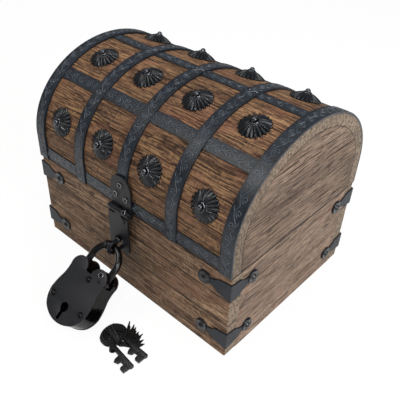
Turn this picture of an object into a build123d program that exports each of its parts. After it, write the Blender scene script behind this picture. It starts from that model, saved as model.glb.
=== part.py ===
from build123d import *
import math
import os

# A round-topped wooden treasure chest with iron straps, a hasp and a padlock.
# Millimetres. X runs along the chest, the front is towards -Y, Z is up.
# The origin is at the centre of the underside.

# The wooden box
length = 292.0
depth = 216.0
base_height = 110.0
lid_gap = 0.6
lid_wall_height = 30.4
arch_rise = 89.0
face_board = 16.5
end_board = 12.5
bottom_board = 9.0
stave_thick = 12.0
board_fit = 0.1
stave_gap = 0.3
stave_edge = 0.7
board_edge = 1.2
stave_seam_angle_shares = (0.0394, 0.2594, 0.4528, 0.6272, 0.8111, 0.9606)

# The iron straps along the lid and the bands over them
strap_width = 14.6
strap_thick = 1.0
band_width = 14.8
band_thick = 1.2
iron_seat = 0.05
iron_fit = 0.05
lower_strap_lift = 2.4
band_lift = 0.8
arch_strap_angle_shares = (0.2556, 0.5056, 0.7444)
band_count = 5

# The rosettes, which are large dished nails
rosette_radius = 16.2
rosette_scallop = 2.1
rosette_scallops = 18
rosette_rim = 1.3
rosette_height = 6.4
rosette_crown_radius = 4.6
rosette_skirt = 2.4
rosette_bulge_share = 0.667
boss_radius = 3.5
boss_rise = 1.2
nail_radius = 1.3
nail_length = 9.0
nail_fit = 0.1
rosette_row_angle_shares = (0.1111, 0.3836, 0.6278, 0.8889)

# The corner brackets and their dome screws
bracket_thick = 1.5
bracket_half_height = 10.4
bracket_shoulder = 14.0
bracket_shoulder_half = 8.6
bracket_hollow = 19.6
bracket_hollow_half = 4.9
bracket_neck = 25.0
bracket_neck_half = 3.8
bracket_reach = 32.0
bracket_knob_radius = 7.8
upper_bracket_drop = 17.2
lower_bracket_z = 24.4
lower_knob_drop = 1.2
dome_screw_radius = 4.8
dome_screw_height = 2.4
screw_shank_radius = 1.5
screw_shank_length = 10.0
screw_fit = 0.15

# The two butt hinges at the back
hinge_side_gap = 5.25
hinge_leaf_height = 22.0
hinge_leaf_thick = 1.6
hinge_barrel_radius = 3.2
hinge_pin_radius = 1.4
hinge_pin_fit = 0.15
hinge_offset = 4.0
knuckle_gap = 0.4
leaf_tongue = 3.7
hinge_pin_head = 2.4
hinge_pin_head_thick = 1.2
flat_screw_radius = 2.7
flat_screw_height = 1.1
hinge_screw_inset = 8.0
hinge_screw_rise = 15.0

# The hasp on the front
hasp_width = 30.0
hasp_thick = 1.8
hasp_plate_height = 42.0
hasp_barrel_radius = 3.6
hasp_pin_radius = 1.5
hasp_pin_head_radius = 2.7
hasp_pin_head_thick = 1.4
hasp_axis_lift = 1.5
hasp_plate_gap = 4.4
hasp_foot_below_staple = 8.0
hasp_strap_thick = 2.0
hasp_corner = 5.0
hasp_slot_width = 12.6
hasp_slot_above = 11.5
hasp_screw_radius = 3.4
hasp_screw_height = 1.3
hasp_top_screw_rise = 31.0
hasp_low_screw_rises = (17.5, 16.1)
hasp_low_screw_x = 7.6
hasp_rivet_x = 8.6
hasp_rivet_drop = 7.6
hasp_rivet_radius = 3.3

# The staple that the padlock hangs from
staple_drop = 42.0
staple_reach = 18.0
staple_wire_radius = 2.2
staple_eye_radius = 4.5
staple_plate_width = 11.0
staple_plate_height = 33.0
staple_plate_thick = 1.5
staple_depth = 12.0
staple_screw_rise = 12.4
staple_screw_radius = 2.2
staple_screw_height = 1.0
staple_plate_corner = 3.0

# The padlock: its own frame has the shackle's bend at the origin
shackle_radius = 3.75
shackle_half_span = 18.6
shackle_leg = 18.6
shackle_sag = 0.4
ear_depth = 35.5
ear_centre = 15.2
ear_radius = 11.0
pivot_below_ear = 1.5
lock_half_width = 29.6
waist_half = 25.4
waist_below_ear = 7.5
hip_half = 26.2
hip_below_ear = 16.5
flank_half = 28.6
flank_below_ear = 26.5
shoulder_height = 34.8
calf_half = 27.7
calf_below_shoulder = 8.8
heel_half = 22.6
heel_below_shoulder = 17.0
heel_inset_share = 0.7
lock_foot_round = 25.4
lock_plate_thick = 1.6
lock_rim_depth = 20.8
lock_rim_wall = 1.8
lock_rim_inset = 0.5
free_leg_below_ear = 9.0
pivot_eye_radius = 4.7
pivot_eye_thick = 6.6
shackle_open = 75.0
swing_steps = 9
pivot_pin_radius = 2.0
pivot_fit = 0.2
leg_slot_clear = 0.6
leg_slot_inner = 2.6
post_radius = 1.9
post_head_radius = 3.6
post_head_height = 2.1
post_spread = 22.9
post_below_shoulder = 4.2
top_post_x = 6.0
post_below_ear = 5.8
keyhole_radius = 4.5
keyhole_below_shoulder = 8.3
key_slot_width = 3.4
key_slot_long = 14.0
key_post_radius = 1.1
key_post_drop = 6.0
lock_inner_fit = 0.3
bolt_height = 4.2
bolt_length = 8.5
bolt_thick = 8.6
bolt_throw = 4.0
bolt_notch = 2.4
spring_leaf_thick = 0.6
spring_leaf_long = 19.0
foot_clear = 0.3

# The two keys, tied with a thread, lying on the same surface
key_bow_radius = 6.8
key_bow_hole = 3.9
key_bow_thick = 4.2
key_length = 44.0
key_shaft_radius = 2.3
key_tip_round = 0.8
key_bit_start = 22.8
key_bit_end = 43.4
key_bit_reach = 10.6
key_bit_thick = 2.4
key_notch_start = 31.4
key_notch_end = 36.4
key_notch_depth = 5.6
key_floor_clear = 0.15
near_key_place = (46.8, -178.6, -6.2)
far_key_place = (47.5, -165.4, 0.6)

# The thread, wound into a small hank over the keys' bows, and its cut ends
thread_radius = 0.8
thread_pitch = 2.1
hank_centre = (47.5, -170.4)
hank_turn = 80.0
hank_half_run = 3.6
hank_first_radius = 2.4
hank_loops = 4
hank_layers = 2
hank_seat = 0.3
tassel_outline = (
    (60.5, -161.4), (54.5, -157.6), (44.0, -145.6), (52.0, -145.2), (68.0, -147.8), (78.5, -155.0),
    (74.0, -161.6),
)
tassel_floor = 0.2
tassel_thick = 3.6

overrun = 20.0
hole_spare = 2.0

os.makedirs("parts", exist_ok=True)

half_length = length / 2
half_depth = depth / 2
lid_bottom = base_height + lid_gap
spring_z = lid_bottom + lid_wall_height
crown_z = spring_z + arch_rise
strap_out = iron_seat + strap_thick
band_out = strap_out + iron_fit + band_thick
band_pitch = (length - band_width) / (band_count - 1)
band_places = [(index - (band_count - 1) / 2) * band_pitch for index in range(band_count)]
rosette_places = [(left + right) / 2 for left, right in zip(band_places, band_places[1:])]
upper_bracket_z = base_height - upper_bracket_drop
hinge_x = band_pitch / 2
hinge_width = band_pitch - band_width - 2 * hinge_side_gap
hinge_screw_x = hinge_width / 2 - hinge_screw_inset
hinge_y = half_depth + hinge_offset
hinge_z = base_height + lid_gap / 2
hasp_plate_y = half_depth + band_out + iron_fit
hasp_axis_y = hasp_plate_y + hasp_barrel_radius
hasp_front_y = hasp_axis_y + hasp_barrel_radius
hasp_axis_z = base_height + hasp_axis_lift
hasp_plate_top = hasp_axis_z + hasp_plate_height
hasp_screw_places = (
    (0, hasp_axis_z + hasp_top_screw_rise),
    (-hasp_low_screw_x, hasp_axis_z + hasp_low_screw_rises[0]),
    (hasp_low_screw_x, hasp_axis_z + hasp_low_screw_rises[1]),
)
staple_y = half_depth + staple_reach
staple_z = base_height - staple_drop
hasp_strap_foot = staple_z - hasp_foot_below_staple
pivot_depth = ear_depth + pivot_below_ear
free_leg_end = ear_depth + free_leg_below_ear
lock_wide_depth = ear_depth + shoulder_height
lock_bottom_depth = lock_wide_depth + lock_foot_round
post_low_depth = lock_wide_depth + post_below_shoulder
post_high_depth = ear_depth + post_below_ear
keyhole_depth = lock_wide_depth + keyhole_below_shoulder
key_slot_depth = keyhole_depth + key_slot_long


def save(shape, name):
    shape.label = name
    export_step(shape, f"parts/{name}.step")


def group(solids):
    return Compound(children=list(solids))


def block(x_span, y_span, z_span):
    size = [high - low for low, high in (x_span, y_span, z_span)]
    middle = [(high + low) / 2 for low, high in (x_span, y_span, z_span)]
    return Pos(*middle) * Box(*size)


def post_along(place, radius, deep):
    """A round bar that starts at a plane and runs down its normal."""
    return place * Pos(0, 0, -deep / 2) * Cylinder(radius, deep)


def along_x(profile, x_low, x_high):
    return Pos(x_low, 0, 0) * extrude(Plane.YZ * profile, amount=x_high - x_low)


# The outline of the lid, seen from its end

def lid_outline(grow, low_z=None):
    """The lid's end outline, grown outwards: a wall below and half an ellipse above."""
    low = lid_bottom if low_z is None else low_z
    wide = half_depth + grow
    tall = arch_rise + grow
    wall = Pos(0, (low + spring_z) / 2) * Rectangle(2 * wide, spring_z - low)
    above = Pos(0, spring_z + tall) * Rectangle(4 * wide, 2 * tall)
    return wall + (Pos(0, spring_z) * Ellipse(wide, tall) & above)


def arch_point(angle_share, grow=0.0):
    """A point on the arch in (Y, Z). Share 0 is the front spring line, 1 the back one."""
    angle = math.pi * angle_share
    wide = half_depth + grow
    tall = arch_rise + grow
    return (-wide * math.cos(angle), spring_z + tall * math.sin(angle))


def arch_place(x, angle_share, grow=0.0):
    """A place on the arch whose Z points out of the lid."""
    y, z = arch_point(angle_share, grow)
    angle = math.pi * angle_share
    normal = (0, -arch_rise * math.cos(angle), half_depth * math.sin(angle))
    return Plane(origin=(x, y, z), x_dir=(1, 0, 0), z_dir=normal).location


def wedge(from_share, to_share):
    """A slice seen from the middle of the arch between two shares of it."""
    shares = [from_share + (to_share - from_share) * part / 2 for part in range(3)]
    far = [arch_point(share, half_depth) for share in shares]
    return make_face(Polyline((0, spring_z), *far, close=True))


# The wooden boards

def outer_edges(board, side):
    """The upright edges of a board on its outer face, and the lower edges at its ends."""
    middle = board.center().Y
    edges = [edge for edge in board.edges().filter_by(Axis.Z) if side * edge.center().Y > side * middle]
    return edges + [edge for edge in board.edges().filter_by(Axis.Y) if edge.center().Z < board_edge]


def base_boards():
    edge_y = half_depth - face_board
    front = block((-half_length, half_length), (-half_depth, -edge_y), (0, base_height))
    front = fillet(outer_edges(front, -1), board_edge)
    for place in bracket_screw_places(front_face=True) + staple_screw_places():
        front -= post_along(place, screw_shank_radius + screw_fit, screw_shank_length + hole_spare)
    front -= staple_holes()
    back = block((-half_length, half_length), (edge_y, half_depth), (0, base_height))
    back = fillet(outer_edges(back, 1), board_edge)
    for place in bracket_screw_places(back_face=True) + hinge_screw_places(lid=False):
        back -= post_along(place, screw_shank_radius + screw_fit, screw_shank_length + hole_spare)
    end_y = edge_y - board_fit
    right = block((half_length - end_board, half_length), (-end_y, end_y), (0, base_height))
    for place in bracket_screw_places(right_face=True):
        right -= post_along(place, screw_shank_radius + screw_fit, screw_shank_length + hole_spare)
    left = mirror(right, about=Plane.YZ)
    floor_x = half_length - end_board - board_fit
    floor = block((-floor_x, floor_x), (-end_y, end_y), (0, bottom_board))
    return {
        "base_front_board": front,
        "base_back_board": back,
        "base_right_board": right,
        "base_left_board": left,
        "base_bottom_board": floor,
    }


def lid_boards():
    """The lid's two wall boards, its staves and its two round-topped end panels."""
    shell = lid_outline(0) - lid_outline(-stave_thick, lid_bottom - overrun)
    gap_share = stave_gap / (2 * math.pi * arch_rise)
    seams = stave_seam_angle_shares
    boards = {}
    for side, name in ((-1, "lid_front_board"), (1, "lid_back_board")):
        share = seams[0] - gap_share if side < 0 else seams[-1] + gap_share
        tip = arch_point(share, half_depth)
        corner = (side * depth, lid_bottom - overrun)
        region = make_face(Polyline((0, spring_z), tip, corner, (0, lid_bottom - overrun), close=True))
        boards[name] = along_x(shell & region, -half_length, half_length)
    for index, (first, last) in enumerate(zip(seams, seams[1:]), start=1):
        piece = shell & wedge(first + gap_share, last - gap_share)
        stave = along_x(piece, -half_length, half_length)
        boards[f"lid_stave_{index}"] = eased_stave(stave)
    for name in boards:
        for hole in nail_holes(boards[name]):
            boards[name] -= hole
    panel = lid_outline(-stave_thick - board_fit)
    boards["lid_right_panel"] = along_x(panel, half_length - end_board, half_length)
    boards["lid_left_panel"] = along_x(panel, -half_length, -half_length + end_board)
    return boards


def eased_stave(stave):
    """A stave with its two long outer edges eased, which draws the seams."""
    def out(edge):
        middle = edge.center()
        return math.hypot(middle.Y / half_depth, (middle.Z - spring_z) / arch_rise)

    edges = sorted(stave.edges().filter_by(Axis.X), key=out)
    return chamfer(edges[-2:], stave_edge)


def nail_holes(board):
    """The holes for every nail and screw that runs into this board."""
    box = board.bounding_box()
    bores = [(place, nail_radius + nail_fit, nail_length + hole_spare) for place in rosette_frames()]
    lid_screws = hinge_screw_places(lid=True) + hasp_screw_frames()
    screw_bore = (screw_shank_radius + screw_fit, screw_shank_length + hole_spare)
    bores += [(place, *screw_bore) for place in lid_screws]
    holes = []
    for place, radius, deep in bores:
        middle = (place * Pos(0, 0, -deep / 2)).position
        within_y = box.min.Y - radius < middle.Y < box.max.Y + radius
        within_z = box.min.Z - radius < middle.Z < box.max.Z + radius
        if within_y and within_z:
            holes.append(post_along(place, radius, deep))
    return holes


# The iron straps and bands

def strap_half_share(angle_share):
    """Half a strap's width, as a share of the arch where it lies."""
    angle = math.pi * angle_share
    speed = math.hypot(half_depth * math.sin(angle), arch_rise * math.cos(angle))
    return strap_width / 2 / speed / math.pi


def strap_region(angle_share, clear=0.0):
    spread = strap_half_share(angle_share) * (1 + 2 * clear / strap_width)
    return wedge(angle_share - spread, angle_share + spread)


def arch_straps():
    sheet = lid_outline(strap_out) - lid_outline(iron_seat, lid_bottom - overrun)
    names = ("front_arch_strap", "crown_strap", "back_arch_strap")
    pieces = {}
    for name, share in zip(names, arch_strap_angle_shares):
        pieces[name] = along_x(sheet & strap_region(share), -half_length, half_length)
    return pieces


def lower_strap_spans():
    low = lid_bottom + lower_strap_lift
    return low, low + strap_width


def lower_straps():
    low, high = lower_strap_spans()
    span = (half_depth + iron_seat, half_depth + strap_out)
    back = block((-half_length, half_length), span, (low, high))
    for place in hinge_screw_places(lid=True):
        back -= post_along(place, screw_shank_radius + screw_fit, screw_shank_length)
    front = block((-half_length, half_length), (-span[1], -span[0]), (low, high))
    for place in hasp_screw_frames():
        front -= post_along(place, screw_shank_radius + screw_fit, screw_shank_length)
    return {"front_lower_strap": front, "back_lower_strap": back}


def bands():
    """Bands from front to back, hollowed underneath where they step over the straps."""
    low = lid_bottom + band_lift
    profile = lid_outline(band_out, low) - lid_outline(iron_seat, lid_bottom - overrun)
    under = lid_outline(strap_out + iron_fit) - lid_outline(0, lid_bottom - overrun)
    for share in arch_strap_angle_shares:
        profile -= under & strap_region(share, iron_fit)
    strap_low, strap_high = lower_strap_spans()
    tall = strap_high - strap_low + 2 * iron_fit
    wide = 2 * (half_depth + strap_out + iron_fit)
    profile -= Pos(0, (strap_low + strap_high) / 2) * Rectangle(wide, tall)
    names = ("left_end_band", "left_band", "middle_band", "right_band", "right_end_band")
    pieces = {}
    for name, x in zip(names, band_places):
        pieces[name] = along_x(profile, x - band_width / 2, x + band_width / 2)
    for place in hasp_screw_frames():
        hole = post_along(place, screw_shank_radius + screw_fit, screw_shank_length)
        pieces["middle_band"] -= hole
    return pieces


# The rosettes

def rosette():
    """A dished nail head with a scalloped edge, a ball on its crown and a shank."""
    skirt = [(0, -rosette_skirt), (rosette_radius, -rosette_skirt), (rosette_radius, 0)]
    rise = (rosette_radius + rosette_crown_radius) / 2
    rim = Line((rosette_radius, 0), (rosette_radius, rosette_rim))
    dome = ThreePointArc(
        (rosette_radius, rosette_rim),
        (rise, rosette_rim + (rosette_height - rosette_rim) * rosette_bulge_share),
        (rosette_crown_radius, rosette_height),
    )
    crown = Line((rosette_crown_radius, rosette_height), (0, rosette_height))
    foot = Polyline(*skirt)
    axis = Line((0, rosette_height), (0, -rosette_skirt))
    half = make_face([*foot.edges(), rim, dome, crown, axis])
    body = revolve(Plane.XZ * half, axis=Axis.Z)
    inner = rosette_radius - rosette_scallop
    outline = Circle(inner)
    outline += [loc * Circle(rosette_scallop) for loc in PolarLocations(inner, rosette_scallops)]
    body &= Pos(0, 0, -rosette_skirt) * extrude(outline, amount=rosette_height + 2 * rosette_skirt)
    ball = Pos(0, 0, rosette_height + boss_rise) * Sphere(boss_radius)
    return body + ball


def rosette_frames():
    rows = rosette_row_angle_shares
    return [arch_place(x, share, iron_seat) for share in rows for x in rosette_places]


def rosettes():
    """All the rosettes, each one cut underneath to the curve that it sits on."""
    head = rosette()
    wood = along_x(lid_outline(iron_seat), -rosette_radius - overrun, rosette_radius + overrun)
    pieces = []
    for share in rosette_row_angle_shares:
        place = arch_place(0, share, iron_seat)
        one = place * head - wood
        one += post_along(place, nail_radius, nail_length)
        pieces += [Pos(x, 0, 0) * one for x in rosette_places]
    return {"rosettes": group(pieces)}


# The corner brackets

def bracket_arm(side, knob_drop):
    """One arm of a bracket: broad at the corner, then hollowed to a neck and a round knob."""
    start = -(iron_seat + bracket_thick)
    edges = []
    for way in (-1, 1):
        corner = (0, way * bracket_half_height)
        shoulder = (side * bracket_shoulder, way * bracket_shoulder_half - knob_drop / 2)
        hollow = (side * bracket_hollow, way * bracket_hollow_half - knob_drop)
        neck = (side * bracket_neck, way * bracket_neck_half - knob_drop)
        edges.append(Line((side * start, way * bracket_half_height), corner))
        edges.append(Line(corner, shoulder))
        edges.append(ThreePointArc(shoulder, hollow, neck))
    neck_x = side * bracket_neck
    neck_ends = [(neck_x, way * bracket_neck_half - knob_drop) for way in (-1, 1)]
    edges.append(Line((side * start, -bracket_half_height), (side * start, bracket_half_height)))
    edges.append(Line(*neck_ends))
    link_long = bracket_reach - bracket_neck
    link_place = Pos(side * (bracket_neck + link_long / 2), -knob_drop)
    knob_place = Pos(side * bracket_reach, -knob_drop)
    arm = make_face(edges) + link_place * Rectangle(link_long, 2 * bracket_neck_half)
    arm += knob_place * Circle(bracket_knob_radius)
    return arm - knob_place * Circle(screw_shank_radius + screw_fit)


def bracket(z, knob_drop):
    """The bracket on the front right corner."""
    front = Plane(origin=(half_length, -half_depth - iron_seat, z), x_dir=(1, 0, 0), z_dir=(0, -1, 0))
    end = Plane(origin=(half_length + iron_seat, -half_depth, z), x_dir=(0, 1, 0), z_dir=(1, 0, 0))
    arm = extrude(front * bracket_arm(-1, knob_drop), amount=bracket_thick)
    arm += extrude(end * bracket_arm(1, knob_drop), amount=bracket_thick)
    return arm


def brackets():
    pieces = {}
    for level, z, drop in (
        ("upper", upper_bracket_z, 0),
        ("lower", lower_bracket_z, lower_knob_drop),
    ):
        right = bracket(z, drop)
        left = mirror(right, about=Plane.YZ)
        pieces[f"{level}_bracket_front_right"] = right
        pieces[f"{level}_bracket_front_left"] = left
        pieces[f"{level}_bracket_back_right"] = mirror(right, about=Plane.XZ)
        pieces[f"{level}_bracket_back_left"] = mirror(left, about=Plane.XZ)
    return pieces


def bracket_screw_places(front_face=False, back_face=False, right_face=False, left_face=False):
    """Planes on the outside of the bracket knobs, normals pointing away from the chest."""
    out = iron_seat + bracket_thick
    places = []
    for z in (upper_bracket_z, lower_bracket_z - lower_knob_drop):
        for side in (-1, 1):
            x = side * (half_length - bracket_reach)
            y = side * (half_depth - bracket_reach)
            if front_face:
                places.append(Plane(origin=(x, -half_depth - out, z), z_dir=(0, -1, 0)))
            if back_face:
                places.append(Plane(origin=(x, half_depth + out, z), z_dir=(0, 1, 0)))
            if right_face:
                places.append(Plane(origin=(half_length + out, y, z), z_dir=(1, 0, 0)))
            if left_face:
                places.append(Plane(origin=(-half_length - out, y, z), z_dir=(-1, 0, 0)))
    return [place.location for place in places]


def screw(place, head_radius, head_height, deep=screw_shank_length):
    """A screw with a round head that stands on a plane."""
    ball = (head_radius**2 + head_height**2) / (2 * head_height)
    head = Pos(0, 0, head_height - ball) * Sphere(ball)
    head &= Pos(0, 0, ball) * Box(4 * ball, 4 * ball, 2 * ball)
    shank = Pos(0, 0, -deep / 2 + head_height / 4) * Cylinder(screw_shank_radius, deep + head_height / 2)
    return place * (head + shank)


def bracket_screws():
    places = bracket_screw_places(True, True, True, True)
    return group(screw(place, dome_screw_radius, dome_screw_height) for place in places)


# The butt hinges

def hinge_screw_places(lid):
    inner = strap_out + iron_fit if lid else iron_seat
    y = half_depth + inner + hinge_leaf_thick
    z = hinge_z + hinge_screw_rise if lid else hinge_z - hinge_screw_rise
    places = []
    for centre in (-hinge_x, hinge_x):
        for side in (-1, 1):
            place = Plane(origin=(centre + side * hinge_screw_x, y, z), z_dir=(0, 1, 0))
            places.append(place.location)
    return places


def hinge_knuckles(lid):
    """The X spans of one leaf's knuckles, about the middle of a hinge."""
    third = hinge_width / 3
    half = knuckle_gap / 2
    if lid:
        return [(-third / 2 + half, third / 2 - half)]
    return [(-hinge_width / 2, -third / 2 - half), (third / 2 + half, hinge_width / 2)]


def hinge_leaf(lid):
    """One leaf about X = 0: a plate, tongues down to its knuckles and the pin's bore."""
    inner = strap_out + iron_fit if lid else iron_seat
    y_span = (half_depth + inner, half_depth + inner + hinge_leaf_thick)
    side = 1 if lid else -1
    plate_z = sorted((hinge_z + side * leaf_tongue, hinge_z + side * hinge_leaf_height))
    leaf = block((-hinge_width / 2, hinge_width / 2), y_span, plate_z)
    for span in hinge_knuckles(lid):
        leaf += block(span, y_span, sorted((hinge_z, hinge_z + side * leaf_tongue)))
        long = span[1] - span[0]
        middle = (span[0] + span[1]) / 2
        leaf += Pos(middle, hinge_y, hinge_z) * Rot(0, 90, 0) * Cylinder(hinge_barrel_radius, long)
    bore = Cylinder(hinge_pin_radius + hinge_pin_fit, hinge_width + overrun)
    leaf -= Pos(0, hinge_y, hinge_z) * Rot(0, 90, 0) * bore
    for x in (-hinge_screw_x, hinge_screw_x):
        place = Plane(
            origin=(x, y_span[1], hinge_z + side * hinge_screw_rise),
            z_dir=(0, 1, 0),
        )
        leaf -= post_along(place.location, screw_shank_radius + screw_fit, screw_shank_length)
    return leaf


def hinges():
    base_leaf = hinge_leaf(lid=False)
    lid_leaf = hinge_leaf(lid=True)
    long = hinge_width + hinge_pin_head_thick
    pin = Pos(0, hinge_y, hinge_z) * Rot(0, 90, 0) * Cylinder(hinge_pin_radius, long)
    head = Pos(0, hinge_y, hinge_z) * Rot(0, 90, 0) * Cylinder(hinge_pin_head, hinge_pin_head_thick)
    shift = (hinge_width + hinge_pin_head_thick) / 2 + knuckle_gap / 4
    pin += Pos(shift, 0, 0) * head + Pos(-shift, 0, 0) * head
    pieces = {}
    for side, x in (("left", -hinge_x), ("right", hinge_x)):
        pieces[f"{side}_hinge_base_leaf"] = Pos(x, 0, 0) * base_leaf
        pieces[f"{side}_hinge_lid_leaf"] = Pos(x, 0, 0) * lid_leaf
    pieces["hinge_pins"] = group(Pos(x, 0, 0) * pin for x in (-hinge_x, hinge_x))
    for name, lid in (("hinge_base_screws", False), ("hinge_lid_screws", True)):
        places = hinge_screw_places(lid)
        pieces[name] = group(screw(place, flat_screw_radius, flat_screw_height) for place in places)
    return pieces


# The hasp

def hasp_screw_frames():
    y = -hasp_plate_y - hasp_thick
    places = [Plane(origin=(x, y, z), z_dir=(0, -1, 0)) for x, z in hasp_screw_places]
    return [place.location for place in places]


def hasp_knuckles(strap):
    third = hasp_width / 3
    half = knuckle_gap / 2
    if strap:
        return [(-third / 2 + half, third / 2 - half)]
    return [(-hasp_width / 2, -third / 2 - half), (third / 2 + half, hasp_width / 2)]


def hasp_barrel(span):
    long = span[1] - span[0]
    middle = (span[0] + span[1]) / 2
    return Pos(middle, -hasp_axis_y, hasp_axis_z) * Rot(0, 90, 0) * Cylinder(hasp_barrel_radius, long)


def hasp_bore():
    bore = Cylinder(hasp_pin_radius + hinge_pin_fit, hasp_width + overrun)
    return Pos(0, -hasp_axis_y, hasp_axis_z) * Rot(0, 90, 0) * bore


def hasp_plate():
    """The screwed plate on the lid, with a round top and two knuckles."""
    low = hasp_axis_z + hasp_plate_gap
    half = hasp_width / 2
    round_z = hasp_plate_top - half
    face = Pos(0, (low + round_z) / 2) * Rectangle(hasp_width, round_z - low)
    face += Pos(0, round_z) * Circle(half)
    plate = extrude(Plane.XZ * face, amount=hasp_thick)
    plate = Pos(0, -hasp_plate_y, 0) * plate
    y_span = (-hasp_plate_y - hasp_thick, -hasp_plate_y)
    for span in hasp_knuckles(strap=False):
        plate += block(span, y_span, (hasp_axis_z, low))
        plate += hasp_barrel(span)
    plate -= hasp_bore()
    for place in hasp_screw_frames():
        plate -= post_along(place, screw_shank_radius + screw_fit, screw_shank_length)
    return plate


def hasp_strap():
    """The hanging strap, forked at its foot so that it lifts off the staple."""
    half = hasp_width / 2
    top = hasp_axis_z - hasp_plate_gap
    y_span = (-hasp_front_y, -hasp_front_y + hasp_strap_thick)
    strap = block((-half, half), y_span, (hasp_strap_foot, top))
    foot_top = hasp_strap_foot + hasp_corner
    foot = [edge for edge in strap.edges().filter_by(Axis.Y) if edge.center().Z < foot_top]
    strap = fillet(foot, hasp_corner)
    for span in hasp_knuckles(strap=True):
        strap += block(span, y_span, (top, hasp_axis_z))
        strap += hasp_barrel(span)
    slot_top = staple_z + hasp_slot_above
    slot_half = hasp_slot_width / 2
    cut_y = (-hasp_front_y - overrun, -hasp_front_y + hasp_strap_thick + hole_spare)
    strap -= block((-slot_half, slot_half), cut_y, (hasp_strap_foot - overrun, slot_top - slot_half))
    round_top = Pos(0, -hasp_front_y, slot_top - slot_half) * Rot(90, 0, 0)
    strap -= round_top * Cylinder(slot_half, overrun)
    strap -= hasp_bore()
    strap -= post_along(hasp_rivet_place(), screw_shank_radius + screw_fit, screw_shank_length)
    return strap


def hasp_rivet_place():
    origin = (hasp_rivet_x, -hasp_front_y, hasp_axis_z - hasp_rivet_drop)
    return Plane(origin=origin, z_dir=(0, -1, 0)).location


def hasp_pin():
    long = hasp_width + hasp_pin_head_thick
    place = Pos(0, -hasp_axis_y, hasp_axis_z) * Rot(0, 90, 0)
    shift = (hasp_width + hasp_pin_head_thick) / 2 + knuckle_gap / 4
    pin = place * Cylinder(hasp_pin_radius, long)
    for side in (-1, 1):
        pin += Pos(side * shift, 0, 0) * place * Cylinder(hasp_pin_head_radius, hasp_pin_head_thick)
    return pin


def hasp():
    screws = [screw(place, hasp_screw_radius, hasp_screw_height) for place in hasp_screw_frames()]
    return {
        "hasp_plate": hasp_plate(),
        "hasp_pin": hasp_pin(),
        "hasp_screws": group(screws),
        "hasp_strap": hasp_strap(),
        "hasp_strap_rivet": screw(
            hasp_rivet_place(), hasp_rivet_radius, hasp_screw_height, hasp_strap_thick + iron_fit
        ),
    }


# The staple

def staple_bend():
    return staple_eye_radius + staple_wire_radius


def staple_holes():
    bars = []
    for side in (-1, 1):
        place = Plane(
            origin=(0, -half_depth, staple_z + side * staple_bend()),
            z_dir=(0, -1, 0),
        )
        bars.append(post_along(place.location, staple_wire_radius + screw_fit, staple_depth + hole_spare))
    return group(bars)


def staple_screw_places():
    y = -half_depth - iron_seat - staple_plate_thick
    places = []
    for side in (-1, 1):
        origin = (0, y, staple_z + side * staple_screw_rise)
        places.append(Plane(origin=origin, z_dir=(0, -1, 0)).location)
    return places


def staple():
    """A wire loop in the YZ plane whose legs go through a plate into the front board."""
    bend = staple_bend()
    inside = -half_depth + staple_depth
    upper = (0, inside, staple_z + bend)
    upper_turn = (0, -staple_y, staple_z + bend)
    tip = (0, -staple_y - bend, staple_z)
    lower_turn = (0, -staple_y, staple_z - bend)
    lower = (0, inside, staple_z - bend)
    bend_arc = ThreePointArc(upper_turn, tip, lower_turn)
    path = Wire([Line(upper, upper_turn), bend_arc, Line(lower_turn, lower)])
    section = Plane(origin=upper, z_dir=(0, -1, 0)) * Circle(staple_wire_radius)
    loop = sweep(section, path=path)
    half_width = staple_plate_width / 2
    half_height = staple_plate_height / 2
    y_span = (-half_depth - iron_seat - staple_plate_thick, -half_depth - iron_seat)
    plate = block((-half_width, half_width), y_span, (staple_z - half_height, staple_z + half_height))
    plate = fillet(plate.edges().filter_by(Axis.Y), staple_plate_corner)
    for place in staple_screw_places():
        plate -= post_along(place, screw_shank_radius + screw_fit, screw_shank_length)
    screws = [screw(place, staple_screw_radius, staple_screw_height) for place in staple_screw_places()]
    return {"staple": loop + plate, "staple_screws": group(screws)}


# The padlock, in its own frame: X across, Y up towards the shackle, Z out of its face

def lock_tilt():
    """How far the lock leans out from the vertical with its lower edge on the floor."""
    down = lock_bottom_depth - shackle_sag
    back = lock_rim_depth / 2 + lock_plate_thick
    reach = math.hypot(down, back)
    return math.atan2(back, down) + math.acos((staple_z - foot_clear) / reach)


def lock_place():
    tilt = lock_tilt()
    place = Plane(
        origin=(0, -staple_y, staple_z),
        x_dir=(1, 0, 0),
        z_dir=(0, -math.cos(tilt), math.sin(tilt)),
    )
    return place.location * Pos(0, shackle_sag, 0)


def lock_outline(inset=0.0):
    """A shield: two round ears above, a slight waist and a wide round foot."""
    ear_edge = ear_centre + ear_radius - inset
    heel_inset = inset * heel_inset_share
    side_points = [
        (waist_half - inset, -ear_depth - waist_below_ear),
        (hip_half - inset, -ear_depth - hip_below_ear),
        (flank_half - inset, -ear_depth - flank_below_ear),
        (lock_half_width - inset, -lock_wide_depth),
        (calf_half - inset, -lock_wide_depth - calf_below_shoulder),
        (heel_half - heel_inset, -lock_wide_depth - heel_below_shoulder + heel_inset),
    ]
    heel_x, heel_y = side_points[-1]
    lines = [
        ThreePointArc((-heel_x, heel_y), (0, inset - lock_bottom_depth), (heel_x, heel_y)),
        Line((ear_edge, -ear_depth), (-ear_edge, -ear_depth)),
    ]
    for side in (-1, 1):
        chain = [(side * ear_edge, -ear_depth)] + [(side * x, y) for x, y in side_points]
        lines += [ThreePointArc(*chain[first:first + 3]) for first in range(0, len(chain) - 2, 2)]
    outline = make_face(lines)
    for side in (-1, 1):
        outline += Pos(side * ear_centre, -ear_depth) * Circle(ear_radius - inset)
    if inset:
        dip = Rectangle(2 * (ear_centre - ear_radius + inset), overrun)
        outline -= Pos(0, -ear_depth + overrun / 2 - inset) * dip
    return outline


def slab(face, low, high):
    return Pos(0, 0, low) * extrude(face, amount=high - low)


def lock_posts_places():
    return [(-post_spread, -post_low_depth), (post_spread, -post_low_depth), (top_post_x, -post_high_depth)]


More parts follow.
